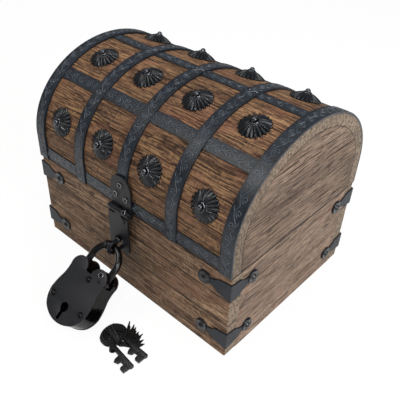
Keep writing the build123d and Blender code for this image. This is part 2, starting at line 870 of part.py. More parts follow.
def lock_plates():
    half = lock_rim_depth / 2
    faces = {"padlock_front_plate": (half, half + lock_plate_thick)}
    faces["padlock_back_plate"] = (-half - lock_plate_thick, -half)
    outline = lock_outline()
    for x, y in lock_posts_places():
        outline -= Pos(x, y) * Circle(post_radius + screw_fit)
    outline -= Pos(shackle_half_span, -pivot_depth) * Circle(pivot_pin_radius + screw_fit)
    pieces = {name: slab(outline, *span) for name, span in faces.items()}
    hole = Pos(0, -keyhole_depth) * Circle(keyhole_radius)
    slot = key_slot_depth - keyhole_depth
    hole += Pos(0, -keyhole_depth - slot / 2) * Rectangle(key_slot_width, slot)
    pieces["padlock_front_plate"] -= slab(hole, 0, lock_rim_depth)
    return pieces


def lock_rim():
    """The deep rim between the plates, open where the shackle's legs go in."""
    half = lock_rim_depth / 2
    ring = lock_outline(lock_rim_inset) - lock_outline(lock_rim_inset + lock_rim_wall)
    rim = slab(ring, -half, half)
    clear = shackle_radius + leg_slot_clear
    left = -shackle_half_span - clear
    right = -shackle_half_span + shackle_radius + leg_slot_inner
    mouth_top = -ear_depth + ear_radius + overrun
    rim -= block((left, right), (-ear_depth, mouth_top), (-clear, clear))
    reach = ear_radius + overrun
    for step in range(swing_steps):
        turn = -shackle_open * step / (swing_steps - 1)
        leg = Pos(0, reach / 2) * Rectangle(2 * clear, reach)
        swung = Pos(shackle_half_span, -pivot_depth) * Rot(0, 0, turn) * leg
        rim -= slab(swung, -clear, clear)
    return rim


def lock_shackle():
    """The bent bar: a free leg on the left, and an eye round the pivot on the right."""
    span = shackle_half_span
    path = Wire([
        Line((-span, -free_leg_end), (-span, -shackle_leg)),
        ThreePointArc((-span, -shackle_leg), (0, 0), (span, -shackle_leg)),
        Line((span, -shackle_leg), (span, -pivot_depth)),
    ])
    section = Plane(origin=(-span, -free_leg_end, 0), z_dir=(0, 1, 0)) * Circle(shackle_radius)
    bar = sweep(section, path=path)
    bar += Pos(span, -pivot_depth, 0) * Cylinder(pivot_eye_radius, pivot_eye_thick)
    bar -= Pos(span, -pivot_depth, 0) * Cylinder(pivot_pin_radius + pivot_fit, lock_rim_depth)
    notch_low = -free_leg_end + shackle_radius / 2
    notch_x = (-span + shackle_radius - bolt_notch, -span + shackle_radius + hole_spare)
    notch = block(notch_x, (notch_low, notch_low + bolt_height + leg_slot_clear), (-span, span))
    return bar - notch


def lock_fittings():
    half = lock_rim_depth / 2
    full = half + lock_plate_thick
    posts = []
    for x, y in lock_posts_places():
        post = Pos(x, y) * Cylinder(post_radius, 2 * full)
        for side in (-1, 1):
            turn = 0 if side > 0 else 180
            ball = (post_head_radius**2 + post_head_height**2) / (2 * post_head_height)
            head = Pos(0, 0, post_head_height - ball) * Sphere(ball)
            head &= Pos(0, 0, ball) * Box(4 * ball, 4 * ball, 2 * ball)
            post += Pos(x, y, side * full) * Rot(turn, 0, 0) * head
        posts.append(post)
    pivot = Pos(shackle_half_span, -pivot_depth) * Cylinder(pivot_pin_radius, 2 * full)
    key_post_long = lock_rim_depth - key_post_drop
    key_post = Pos(0, -keyhole_depth, -key_post_drop / 2) * Cylinder(key_post_radius, key_post_long)
    notch_low = -free_leg_end + shackle_radius / 2
    bolt_low = notch_low + leg_slot_clear / 2
    tip = -shackle_half_span + shackle_radius + lock_inner_fit + bolt_throw - bolt_notch
    bolt_back = -half + lock_inner_fit
    bolt_depth = (bolt_back, bolt_back + bolt_thick)
    bolt = block((tip, tip + bolt_length), (bolt_low, bolt_low + bolt_height), bolt_depth)
    bolt_spring = block(
        (tip + bolt_length + lock_inner_fit, tip + bolt_length + lock_inner_fit + spring_leaf_thick),
        (bolt_low + bolt_height - spring_leaf_long, bolt_low + bolt_height),
        (-half + lock_inner_fit, half - lock_inner_fit),
    )
    return {
        "padlock_rivets": group(posts),
        "padlock_pivot_pin": pivot,
        "padlock_key_post": key_post,
        "padlock_bolt": bolt,
        "padlock_bolt_spring": bolt_spring,
    }


def padlock():
    pieces = {"padlock_shackle": lock_shackle(), "padlock_rim": lock_rim()}
    pieces.update(lock_plates())
    pieces.update(lock_fittings())
    place = lock_place()
    return {name: place * piece for name, piece in pieces.items()}


# The keys and their thread

def key_profile():
    """The bit and its notch, seen from above, with the shaft along X."""
    plate_span = key_bit_end - key_bit_start
    plate = Pos(key_bit_start + plate_span / 2, -key_bit_reach / 2) * Rectangle(plate_span, key_bit_reach)
    notch_span = key_notch_end - key_notch_start
    notch_place = Pos(key_notch_start + notch_span / 2, -key_bit_reach + key_notch_depth / 2)
    return plate - notch_place * Rectangle(notch_span, key_notch_depth)


def key():
    """A key lying flat: a ring bow, a round shaft and a flat notched bit."""
    bow = Cylinder(key_bow_radius, key_bow_thick) - Cylinder(key_bow_hole, key_bow_thick + overrun)
    start = (key_bow_radius + key_bow_hole) / 2
    long = key_length - start
    shaft = Pos(start + long / 2, 0, 0) * Rot(0, 90, 0) * Cylinder(key_shaft_radius, long)
    tip = shaft.edges().filter_by(GeomType.CIRCLE).sort_by(Axis.X)[-1]
    shaft = chamfer(tip, key_tip_round)
    bit = Pos(0, 0, -key_bit_thick / 2) * extrude(key_profile(), amount=key_bit_thick)
    return Pos(0, 0, key_shaft_radius + key_floor_clear) * (bow + shaft + bit)


def hank_height():
    """The height of the lowest turns' middle, over the keys' bows."""
    bow_top = key_floor_clear + key_shaft_radius + key_bow_thick / 2
    return bow_top + hank_seat + thread_radius


def hank_turn_round(here, side, radius):
    """Half a turn round one end of the hank, which crosses to the other run."""
    far_y = here[1] - math.copysign(2 * radius, here[1])
    tip = (here[0] + side * radius, (here[1] + far_y) / 2, here[2])
    there = (here[0], far_y, here[2])
    return ThreePointArc(here, tip, there), there


def hank_path():
    """Flat turns that spiral out, climb along a run, and spiral in again, layer by layer."""
    radius = hank_first_radius
    side = 1
    here = (-hank_half_run, -radius, hank_height())
    grow = thread_pitch / 2
    edges = []
    for layer in range(hank_layers):
        for half in range(2 * hank_loops):
            climbing = layer > 0 and half == 0
            there = (side * hank_half_run, here[1], here[2] + (thread_pitch if climbing else 0))
            edges += hank_climb(here, there) if climbing else [Line(here, there)]
            if half:
                radius += grow
            arc, here = hank_turn_round(there, side, radius)
            edges.append(arc)
            side = -side
        grow = -grow
    return edges


def hank_climb(here, there):
    """Two arcs, level at both ends, that rise by one pitch along a run."""
    run = there[0] - here[0]
    turn = 2 * math.atan2(thread_pitch, abs(run))
    bend = abs(run) / 2 / math.sin(turn)
    along = math.copysign(bend * math.sin(turn / 2), run)
    up = bend * (1 - math.cos(turn / 2))
    middle = ((here[0] + there[0]) / 2, here[1], (here[2] + there[2]) / 2)
    first = ThreePointArc(here, (here[0] + along, here[1], here[2] + up), middle)
    last = ThreePointArc(middle, (there[0] - along, here[1], there[2] - up), there)
    return [first, last]


def keys_and_thread():
    keys = []
    for x, y, turn in (near_key_place, far_key_place):
        keys.append(Pos(x, y, 0) * Rot(0, 0, turn) * key())
    path = Wire(hank_path())
    start = path @ 0
    section = Plane(origin=start, z_dir=(path % 0)) * Circle(thread_radius)
    place = Pos(hank_centre[0], hank_centre[1], 0) * Rot(0, 0, hank_turn)
    hank = place * sweep(section, path=path)
    print("thread length", round(path.length, 1), "least gap", round(least_gap(path), 2))
    tassel = extrude(make_face(Polyline(*tassel_outline, close=True)), amount=tassel_thick)
    return {
        "padlock_keys": group(keys),
        "key_thread": hank,
        "key_thread_ends": Pos(0, 0, tassel_floor) * tassel,
    }


def least_gap(path):
    """The least clear space between two turns, over points along the middle line."""
    count = int(path.length / thread_radius)
    points = [path @ (index / count) for index in range(count + 1)]
    step = path.length / count
    apart = math.ceil(4 * thread_pitch / step)
    nearest = path.length
    for index, point in enumerate(points):
        for other in points[index + apart:]:
            nearest = min(nearest, (point - other).length)
    return nearest - 2 * thread_radius


def main():
    pieces = {}
    for make in (
        base_boards, lid_boards, arch_straps, lower_straps, bands, rosettes,
        brackets, hinges, hasp, staple, padlock, keys_and_thread,
    ):
        pieces.update(make())
    pieces["bracket_screws"] = bracket_screws()
    for name, piece in pieces.items():
        save(piece, name)
    print(len(pieces), "nodes; lock tilt", round(math.degrees(lock_tilt()), 2))


main()
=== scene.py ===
import bisect
import math
import random

import bmesh
import bpy
from mathutils import Matrix, Vector


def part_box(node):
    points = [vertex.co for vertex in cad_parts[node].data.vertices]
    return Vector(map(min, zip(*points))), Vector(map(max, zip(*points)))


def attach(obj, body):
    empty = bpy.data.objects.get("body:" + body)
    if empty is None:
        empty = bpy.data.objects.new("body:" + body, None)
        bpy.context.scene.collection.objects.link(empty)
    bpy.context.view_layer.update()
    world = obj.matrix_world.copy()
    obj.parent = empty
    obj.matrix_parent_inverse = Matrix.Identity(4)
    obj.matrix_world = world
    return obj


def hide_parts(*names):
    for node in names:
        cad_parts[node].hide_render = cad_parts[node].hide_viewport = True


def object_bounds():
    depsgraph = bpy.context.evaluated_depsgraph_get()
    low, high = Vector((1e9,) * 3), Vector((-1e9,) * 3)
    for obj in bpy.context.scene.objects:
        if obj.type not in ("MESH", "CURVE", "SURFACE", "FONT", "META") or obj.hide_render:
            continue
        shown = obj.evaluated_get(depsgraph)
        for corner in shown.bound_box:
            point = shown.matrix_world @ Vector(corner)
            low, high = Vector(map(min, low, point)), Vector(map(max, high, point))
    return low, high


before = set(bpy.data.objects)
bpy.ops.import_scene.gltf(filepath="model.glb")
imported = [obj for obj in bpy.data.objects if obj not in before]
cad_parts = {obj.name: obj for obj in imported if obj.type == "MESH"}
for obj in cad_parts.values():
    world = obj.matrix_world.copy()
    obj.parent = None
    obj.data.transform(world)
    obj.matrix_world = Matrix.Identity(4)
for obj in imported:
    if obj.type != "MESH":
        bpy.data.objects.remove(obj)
cad_low, cad_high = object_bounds()

bl_info = {
    "name": "Treasure chest box",
    "version": (1, 0, 0),
    "blender": (4, 5, 0),
    "location": "View3D > Sidebar > Chest",
    "description": "Timber, embossed iron, rosette nails, padlock, keys and thread for the packed chest",
    "category": "Object",
}

MM = 0.001


def srgb(text):
    """An sRGB hex colour as linear red, green, blue and alpha."""
    parts = [int(text[i:i + 2], 16) / 255 for i in (1, 3, 5)]
    return tuple(c / 12.92 if c <= 0.04045 else ((c + 0.055) / 1.055) ** 2.4 for c in parts) + (1.0,)


def length_value(name, about, value):
    """A length, in metres, that a user can change."""
    return bpy.props.FloatProperty(name=name, description=about, default=value, unit="LENGTH")


def colour_value(name, about, value):
    """A colour, given as sRGB hex, that a user can change."""
    return bpy.props.FloatVectorProperty(
        name=name, description=about, default=srgb(value), subtype="COLOR", size=4, min=0.0, max=1.0
    )


class ChestShape(bpy.types.PropertyGroup):
    half_length: length_value("Half length", "Half the chest's length", cad_high.x - 3.95 * MM)
    half_depth: length_value("Half depth", "Half the chest's depth, over the wood", 0.108)
    wall_top: length_value("Wall top", "Height at which the lid starts to curve", 0.141)
    arch_rise: length_value("Arch rise", "Height of the lid's arch", 0.089)
    lid_bottom: length_value("Lid bottom", "Height of the lid's lower edge", 0.1106)
    strap_lift: length_value("Strap lift", "Outside of the long straps, over the wood", 0.00105)
    band_lift: length_value("Band lift", "Outside of the bands, over the wood", 0.0023)
    strap_width: length_value("Strap width", "Width of the long straps", 0.0146)
    lower_strap_mid: length_value("Lower strap", "Height of the middle of the lower straps", 0.1203)


class ChestRosettes(bpy.types.PropertyGroup):
    radius: length_value("Radius", "Outer radius of a rosette", 0.0162)
    petals: bpy.props.IntProperty(name="Petals", description="Flutes round a rosette", default=20, min=6)
    crown: length_value("Crown radius", "Outer radius of the ring round the ball", 0.005)
    height: length_value("Height", "Height of the crown over the wood", 0.0064)
    ball: length_value("Ball radius", "Radius of the ball on the crown", 0.0029)
    flute: length_value("Flute depth", "Depth of the grooves between petals", 0.002)


class ChestTimber(bpy.types.PropertyGroup):
    lid_light: colour_value("Lid, light", "Light grain of the lid", "#926f4b")
    lid_mid: colour_value("Lid, middle", "Middle grain of the lid", "#5e3f29")
    lid_dark: colour_value("Lid, dark", "Dark grain of the lid", "#26160c")
    lid_red: colour_value("Lid, red", "Reddish heartwood in the lid", "#6d422f")
    base_light: colour_value("Base, light", "Light grain of the base", "#94795e")
    base_mid: colour_value("Base, middle", "Middle grain of the base", "#5f442d")
    base_dark: colour_value("Base, dark", "Dark grain of the base", "#2c1a0d")
    base_red: colour_value("Base, red", "Browner streaks in the base", "#6a4934")
    wash: colour_value("Grey wash", "Weathered grey on the ends and the base", "#948579")
    end_grain: colour_value("End grain", "Sawn ends of the boards", "#93826f")


class ChestMetal(bpy.types.PropertyGroup):
    strap_low: colour_value("Strap, low", "Hollows of the straps", "#090d13")
    strap_high: colour_value("Strap, high", "Raised parts of the straps", "#161f29")
    rosette: colour_value("Rosette", "Black of the rosettes", "#04070a")
    hasp: colour_value("Hasp", "Charcoal of the hasp", "#0c0d10")
    plate: colour_value("Padlock plate", "Charcoal of the padlock's faces", "#15161a")
    gloss: colour_value("Gloss black", "Black of the shackle and the rim", "#050506")
    key: colour_value("Key", "Black of the keys", "#0a0a0b")
    worn: colour_value("Worn steel", "Bare steel on worn edges", "#9a9a9c")
    thread: colour_value("Thread", "Black cotton", "#020203")


class ChestThread(bpy.types.PropertyGroup):
    diameter: length_value("Diameter", "Diameter of the thread", 0.0016)
    length: length_value("Length", "Length of the wound thread", 0.421)
    pitch: length_value("Pitch", "Distance from turn to turn", 0.0021)
    half_run: length_value("Half run", "Half of a turn's straight side", 0.0036)
    first_radius: length_value("First radius", "Radius of the innermost turn", 0.0024)
    lowest: length_value("Lowest turn", "Height of the lowest turns' middle", 0.00565)
    turns: bpy.props.IntProperty(name="Turns", description="Turns in a layer", default=4, min=1)
    layers: bpy.props.IntProperty(name="Layers", description="Layers of turns", default=2, min=1)


GROUPS = (
    ("chest_shape", ChestShape),
    ("chest_rosettes", ChestRosettes),
    ("chest_timber", ChestTimber),
    ("chest_metal", ChestMetal),
    ("chest_thread", ChestThread),
)


def add(tree, kind, inputs=None, **settings):
    """Adds a node. An input is a value, an output, or a node that gives its first live output."""
    made = tree.nodes.new("ShaderNode" + kind)
    for name, value in settings.items():
        setattr(made, name, value)
    for name, value in (inputs or {}).items():
        if isinstance(value, bpy.types.Node):
            value = next(output for output in value.outputs if output.enabled)
        if isinstance(value, bpy.types.NodeSocket):
            tree.links.new(value, made.inputs[name])
        else:
            made.inputs[name].default_value = value
    return made


def start_material(name):
    """An empty material, and its tree."""
    material = bpy.data.materials.new(name)
    material.use_nodes = True
    material.node_tree.nodes.clear()
    return material, material.node_tree


def end_material(material, inputs):
    """Gives a material its shader."""
    shader = add(material.node_tree, "BsdfPrincipled", inputs)
    add(material.node_tree, "OutputMaterial", {"Surface": shader})
    return material


def grey(value):
    """A grey given in linear light."""
    return (value, value, value, 1.0)


def stretched_noise(tree, coords, scale, detail, rough=0.55):
    """Noise with as many grains to the metre, along X, Y and Z, as the scale says."""
    spread = add(tree, "VectorMath", {0: coords, 1: scale}, operation="MULTIPLY")
    inputs = {"Vector": spread, "Scale": 1.0, "Detail": detail, "Roughness": rough}
    return add(tree, "TexNoise", inputs)


def timber(name, colours, shift, along="X", wash=0.0, tone=1.0, planks=(), rim=None, shade=None):
    """Mango wood, stained and wire brushed: fine open grain, reddish heartwood, satin."""
    dark, mid, light, red, washed, end = colours
    material, tree = start_material(name)
    place = add(tree, "TexCoord").outputs["Object"]
    offset = (shift, 0.37 * shift, 0.61 * shift)
    turn = (0.0, 0.0, math.pi / 2 if along == "Y" else 0.0)
    board = add(tree, "Mapping", {"Vector": place, "Location": offset, "Rotation": turn})
    # The grain wanders by about 2 mm over 60 mm of board
    drift = add(tree, "TexNoise", {"Vector": board, "Scale": 16.0, "Detail": 2.0}).outputs["Color"]
    sway = {0: drift, 1: (0.0, 0.006, 0.006), 2: board}
    wander = add(tree, "VectorMath", sway, operation="MULTIPLY_ADD")
    # Streaks of 59 by 1.4 mm, figure of 110 by 9 mm and short fibres of 8 by 1 mm. Real fibres are
    # finer, and these are as coarse as they need to be to show
    streak = stretched_noise(tree, wander, (17.0, 700.0, 700.0), 3.0, 0.65)
    figure = stretched_noise(tree, wander, (9.0, 110.0, 110.0), 3.0, 0.6)
    fine = stretched_noise(tree, wander, (120.0, 1000.0, 1000.0), 2.0, 0.6)
    # Saw marks 1.8 mm apart, which lie across the grain for 5.3 mm
    saw = stretched_noise(tree, board, (560.0, 190.0, 190.0), 2.0, 0.6)
    # Light and dark areas of 143 by 38 mm, and heartwood of 56 by 25 mm
    broad = stretched_noise(tree, board, (7.0, 26.0, 26.0), 1.0, 0.5)
    blotch = stretched_noise(tree, board, (18.0, 40.0, 40.0), 3.0, 0.6)
    # Pores of 22 by 1.2 mm, and hair cracks of 100 by 2.4 mm of which only the core is dark
    pores = stretched_noise(tree, wander, (45.0, 820.0, 820.0), 1.0, 0.4)
    cracks = stretched_noise(tree, wander, (10.0, 420.0, 420.0), 1.0, 0.3)
    value = add(tree, "Math", {0: streak, 1: 0.5}, operation="MULTIPLY")
    for part, share in ((figure, 0.07), (fine, 0.26), (saw, 0.17)):
        value = add(tree, "Math", {0: part, 1: share, 2: value}, operation="MULTIPLY_ADD")
    grain = add(tree, "ValToRGB", {"Fac": value})
    stops = grain.color_ramp.elements
    stops.new(0.5)
    for stop, at, colour in zip(stops, (0.425, 0.486, 0.55), (dark, mid, light)):
        stop.position = at
        stop.color = colour
    heart = add(tree, "MapRange", {0: blotch, 1: 0.48, 2: 0.63, 4: 0.5})
    weather = add(tree, "MapRange", {0: figure, 1: 0.3, 2: 0.7, 3: 0.5 * wash, 4: wash})
    pore = add(tree, "MapRange", {0: pores, 1: 0.36, 2: 0.42, 3: 0.8, 4: 0.0})
    crack = add(tree, "MapRange", {0: cracks, 1: 0.27, 2: 0.31, 3: 0.85, 4: 0.0})
    for share, colour in ((heart, red), (weather, washed), (pore, dark), (crack, dark)):
        grain = add(tree, "Mix", {0: share, 6: grain, 7: colour}, data_type="RGBA")
    patch = add(tree, "MapRange", {0: broad, 1: 0.35, 2: 0.65, 3: 0.74 * tone, 4: 1.18 * tone})
    if shade:
        # Darker round one point, up to where the distance times the spread is 1.3
        middle, spread = shade
        spot = add(tree, "VectorMath", {0: place, 1: middle}, operation="SUBTRACT")
        spot = add(tree, "VectorMath", {0: spot, 1: spread}, operation="MULTIPLY")
        away = add(tree, "VectorMath", {0: spot}, operation="LENGTH").outputs["Value"]
        dim = add(tree, "MapRange", {0: away, 1: 0.5, 2: 1.3, 3: 0.8, 4: 1.1})
        patch = add(tree, "Math", {0: patch, 1: dim}, operation="MULTIPLY")
    grain = add(tree, "Mix", {0: 1.0, 6: grain, 7: patch}, data_type="RGBA", blend_type="MULTIPLY")
    # Sawn ends show end grain of 2.4 by 3.3 mm
    normal = add(tree, "NewGeometry").outputs["Normal"]
    facing = add(tree, "SeparateXYZ", {0: normal}).outputs[along]
    facing = add(tree, "Math", {0: facing}, operation="ABSOLUTE")
    facing = add(tree, "MapRange", {0: facing, 1: 0.8, 2: 0.9})
    sawn = stretched_noise(tree, board, (420.0, 420.0, 300.0), 5.0, 0.75)
    sawn = add(tree, "MapRange", {0: sawn, 1: 0.4, 2: 0.58})
    dust = add(tree, "Mix", {0: 0.75, 6: end, 7: dark}, data_type="RGBA")
    sawn = add(tree, "Mix", {0: sawn, 6: dust, 7: end}, data_type="RGBA")
    sawn = add(tree, "Mix", {0: 1.0, 6: sawn, 7: grey(tone)}, data_type="RGBA", blend_type="MULTIPLY")
    grain = add(tree, "Mix", {0: facing, 6: grain, 7: sawn}, data_type="RGBA")
    height = value
    for hollow, low, high, depth in ((pores, 0.36, 0.42, 0.3), (cracks, 0.27, 0.31, 0.5)):
        hollow = add(tree, "MapRange", {0: hollow, 1: low, 2: high, 3: depth, 4: 0.0})
        height = add(tree, "Math", {0: height, 1: hollow}, operation="SUBTRACT")
    # The shadow line between two boards is 0.8 mm wide, and fades out 1.1 mm from its middle
    _, across, up = add(tree, "SeparateXYZ", {0: place}).outputs
    seams = []
    for plank in planks:
        away = add(tree, "Math", {0: up, 1: plank}, operation="SUBTRACT")
        away = add(tree, "Math", {0: away}, operation="ABSOLUTE")
        seams.append(add(tree, "MapRange", {0: away, 1: 0.0004, 2: 0.0011, 3: 1.0, 4: 0.0}))
    if rim:
        # A painted shadow line runs round the board's rim, where it meets the staves and the boards beside
        # it: outside an arch of this half width, spring and rise
        wide, spring, rise = rim
        over, beside = up, across
        for work, amount in (("SUBTRACT", spring), ("MAXIMUM", 0.0), ("DIVIDE", rise), ("POWER", 2.0)):
            over = add(tree, "Math", {0: over, 1: amount}, operation=work)
        for work, amount in (("ABSOLUTE", 0.0), ("DIVIDE", wide), ("POWER", 2.0)):
            beside = add(tree, "Math", {0: beside, 1: amount}, operation=work)
        edge = add(tree, "Math", {0: beside, 1: over}, operation="ADD")
        seams.append(add(tree, "MapRange", {0: edge, 1: 0.982, 2: 0.994}))
    # Each seam and the rim are painted near black as painted shade, and sunk a little
    for seam in seams:
        share = add(tree, "Math", {0: seam, 1: 0.85}, operation="MULTIPLY")
        grain = add(tree, "Mix", {0: share, 6: grain, 7: grey(0.008)}, data_type="RGBA")
        height = add(tree, "Math", {0: height, 1: seam}, operation="SUBTRACT")
    satin = add(tree, "MapRange", {0: streak, 1: 0.3, 2: 0.7, 3: 0.7, 4: 0.5})
    bump = add(tree, "Bump", {"Height": height, "Distance": 0.0011, "Strength": 0.8})
    looks = {"Base Color": grain, "Roughness": satin, "IOR": 1.45, "Specular IOR Level": 0.2, "Normal": bump}
    return end_material(material, looks)


def tone_of(tone):
    """A colour given as sRGB hex, or by its name among the metal's properties."""
    return srgb(tone) if tone[0] == "#" else getattr(bpy.context.scene.chest_metal, tone)


def iron(name, low, high, rough, grit, depth, worn="worn", wear_and_glint=0.0, metallic=0.0, level=0.5, edge=0.0006):
    """Painted or blacked steel: a fine grit of the given size in metres, and edges rubbed bright, which on
    the scrolls and screws is also a painted highlight.
    """
    material, tree = start_material(name)
    place = add(tree, "TexCoord").outputs["Object"]
    beat = stretched_noise(tree, place, (1 / grit,) * 3, 3.0, 0.6)
    cloud = stretched_noise(tree, place, (0.16 / grit,) * 3, 2.0, 0.5)
    both = add(tree, "Math", {0: beat, 1: cloud}, operation="ADD")
    both = add(tree, "Math", {0: both, 1: 0.5}, operation="MULTIPLY")
    both = add(tree, "MapRange", {0: both, 1: 0.38, 2: 0.62})
    colour = add(tree, "Mix", {0: both, 6: tone_of(low), 7: tone_of(high)}, data_type="RGBA")
    relief = {"Height": beat, "Distance": depth, "Strength": 0.6}
    if edge:
        relief["Normal"] = add(tree, "Bevel", {"Radius": edge}, samples=4)
    if wear_and_glint:
        # The rounded normal leaves the flat one only at edges, and there the paint is rubbed off; on the
        # scrolls and screws this bright edge is also a painted highlight
        flat = add(tree, "NewGeometry").outputs["Normal"]
        dot = add(tree, "VectorMath", {0: relief["Normal"], 1: flat}, operation="DOT_PRODUCT")
        bare_and_glint = add(tree, "MapRange", {0: dot.outputs["Value"], 1: 0.97, 2: 0.8})
        uneven = add(tree, "MapRange", {0: beat, 1: 0.4, 2: 0.6, 3: 0.3})
        for share in (uneven, wear_and_glint):
            bare_and_glint = add(tree, "Math", {0: bare_and_glint, 1: share}, operation="MULTIPLY")
        colour = add(tree, "Mix", {0: bare_and_glint, 6: colour, 7: tone_of(worn)}, data_type="RGBA")
    looks = {
        "Base Color": colour,
        "Roughness": add(tree, "MapRange", {0: beat, 1: 0.3, 2: 0.7, 3: rough - 0.07, 4: rough + 0.1}),
        "Metallic": metallic,
        "Specular IOR Level": level,
        "Normal": add(tree, "Bump", relief),
    }
    return end_material(material, looks)


FINISHES = {
    # Thick hammered paint: dark, dull and faintly blue, with soft glints
    "strap": {
        "name": "embossed mild steel, hammered charcoal paint", "low": "strap_low", "high": "strap_high",
        "rough": 0.34, "grit": 0.0016, "depth": 0.0005, "wear_and_glint": 0.2, "level": 0.42,
    },
    # The tops of the scrolls are rubbed, and their lighter grey and bright edges are also a painted
    # highlight, so that they stand out grey from the strap
    "scroll": {
        "name": "raised scrolls, paint rubbed thin", "low": "#161d26", "high": "#323d48",
        "rough": 0.3, "grit": 0.0019, "depth": 0.0002, "worn": "#8d959c", "wear_and_glint": 0.35, "level": 0.6,
    },
    # A smooth dark mirror with sharp glints
    "ball": {
        "name": "polished dark nail head", "low": "#3f4246", "high": "#54575b",
        "rough": 0.16, "grit": 0.002, "depth": 0.00002, "metallic": 1.0, "edge": 0.0,
    },
    # Lacquer stoved on steel: black, with narrow highlights on the petals
    "rosette": {
        "name": "pressed steel, black japanned", "low": "rosette", "high": "#0b0f14",
        "rough": 0.24, "grit": 0.0022, "depth": 0.00005, "level": 0.35, "edge": 0.0,
    },
    # Blacking leaves sheet steel even, soft and charcoal
    "hasp": {
        "name": "blacked sheet steel", "low": "hasp", "high": "#121318",
        "rough": 0.4, "grit": 0.002, "depth": 0.00012, "wear_and_glint": 0.1, "level": 0.22,
    },
    # Painted as the straps are, but smoother and duller
    "bracket": {
        "name": "stamped steel, charcoal paint", "low": "#090e15", "high": "#131b25",
        "rough": 0.42, "grit": 0.0019, "depth": 0.0003, "wear_and_glint": 0.12, "level": 0.26,
    },
    # A glossy black, with its edges rubbed to grey
    "knob": {
        "name": "stamped bracket knob, gloss black", "low": "#07090a", "high": "#101316", "rough": 0.22,
        "grit": 0.0022, "depth": 0.0001, "worn": "#7d8288", "wear_and_glint": 0.3, "metallic": 0.1, "level": 0.6,
    },
    # Satin oxide: an even charcoal with soft, wide highlights
    "plate": {
        "name": "padlock face, satin black oxide", "low": "plate", "high": "#1b1c20",
        "rough": 0.42, "grit": 0.003, "depth": 0.00006, "wear_and_glint": 0.04, "level": 0.3,
    },
    # Stoved enamel: black with long, clear highlights
    "gloss": {
        "name": "stoved black enamel on steel", "low": "gloss", "high": "#0b0b0c",
        "rough": 0.16, "grit": 0.004, "depth": 0.00008, "wear_and_glint": 0.05, "level": 0.3,
    },
    # The same enamel as a darker copy, nearly pure black with fainter highlights, for the rim, the domes and
    # the screw hearts: painted shade
    "enamel": {
        "name": "deep black enamel on steel", "low": "#020202", "high": "#060607",
        "rough": 0.14, "grit": 0.004, "depth": 0.00006, "level": 0.16,
    },
    # Bare steel shows on every edge, and the near-white edges and light grey head are also a painted
    # highlight, so that a head reads as a bright ring
    "screw": {
        "name": "black screw, rubbed bright on its edges", "low": "#505154", "high": "#606164", "rough": 0.2,
        "grit": 0.0015, "depth": 0.00005, "worn": "#dcdcdc", "wear_and_glint": 0.9, "metallic": 0.85, "edge": 0.0008,
    },
    # Thin paint over a casting: black, satin and slightly pitted
    "key": {
        "name": "cast key, thin black paint", "low": "key", "high": "#151517",
        "rough": 0.38, "grit": 0.0014, "depth": 0.00025, "wear_and_glint": 0.25, "metallic": 0.1,
    },
    # Bare tempered steel, light grey and softly shining
    "spring": {
        "name": "tempered spring strip", "low": "#8c8c90", "high": "#a5a5a8",
        "rough": 0.3, "grit": 0.001, "depth": 0.00005, "metallic": 1.0,
    },
}


def steel(finish):
    """The steel of that finish, made the first time that it is asked for."""
    recipe = FINISHES[finish]
    return bpy.data.materials.get(recipe["name"]) or iron(**recipe)


def cotton(name="black cotton thread, twisted", tone="thread"):
    """Twisted cotton thread: soft and dull, with the slants of its twist 1.2 mm apart."""
    if name in bpy.data.materials:
        return bpy.data.materials[name]
    material, tree = start_material(name)
    place = add(tree, "TexCoord").outputs["Object"]
    wave = {"Vector": place, "Scale": 300.0, "Distortion": 3.0, "Detail": 1.0}
    twist = add(tree, "TexWave", wave, bands_direction="DIAGONAL").outputs["Fac"]
    fuzz = stretched_noise(tree, place, (1800.0,) * 3, 2.0)
    looks = {
        "Base Color": add(tree, "Mix", {0: fuzz, 6: tone_of(tone), 7: grey(0.004)}, data_type="RGBA"),
        "Roughness": 0.5,
        "Sheen Weight": 0.03,
        "Specular IOR Level": 0.25,
        "Normal": add(tree, "Bump", {"Height": twist, "Distance": 0.0003, "Strength": 0.8}),
    }
    return end_material(material, looks)


def dress(material, *nodes):
    """Gives CAD nodes a material."""
    for name in nodes:
        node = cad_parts[name]
        node.data.materials.clear()
        node.data.materials.append(material)


def finish_mesh(work, name, material, body, smooth=38.0, recalc=True):
    """Turns a bmesh into a finished piece that rides on a body."""
    bmesh.ops.remove_doubles(work, verts=work.verts, dist=0.000002)
    if recalc:
        bmesh.ops.recalc_face_normals(work, faces=work.faces)
    mesh = bpy.data.meshes.new(name)
    work.to_mesh(mesh)
    work.free()
    for face in mesh.polygons:
        face.use_smooth = True
    mesh.set_sharp_from_angle(angle=math.radians(smooth))
    mesh.materials.append(material)
    piece = bpy.data.objects.new(name, mesh)
    bpy.context.scene.collection.objects.link(piece)
    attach(piece, body)
    return piece


def turned(profile, steps):
    """A turned shape: a profile of radius and height, spun about Z."""
    work = bmesh.new()
    made = [work.verts.new((radius, 0.0, height)) for radius, height in profile]
    edges = [work.edges.new(pair) for pair in zip(made, made[1:])]
    bmesh.ops.spin(
        work,
        geom=made + edges,
        cent=(0, 0, 0),
        axis=(0, 0, 1),
        angle=math.tau,
        steps=steps,
        use_merge=True,
        use_duplicate=False,
    )
    bmesh.ops.remove_doubles(work, verts=work.verts, dist=0.000002)
    bmesh.ops.recalc_face_normals(work, faces=work.faces)
    return work


def turned_part(name, profile, steps=32):
    """The mesh of a turned part, from a profile in millimetres."""
    return mesh_of(turned([(radius * MM, height * MM) for radius, height in profile], steps), name)


def add_copy(work, mesh, move):
    """Adds a mesh to a bmesh, with each of its points moved by a function."""
    before = len(work.verts)
    work.from_mesh(mesh)
    work.verts.ensure_lookup_table()
    for vert in work.verts[before:]:
        vert.co = move(vert.co)


def mesh_of(work, name):
    """The mesh of a bmesh, which is then let go."""
    mesh = bpy.data.meshes.new(name)
    work.to_mesh(mesh)
    work.free()
    return mesh


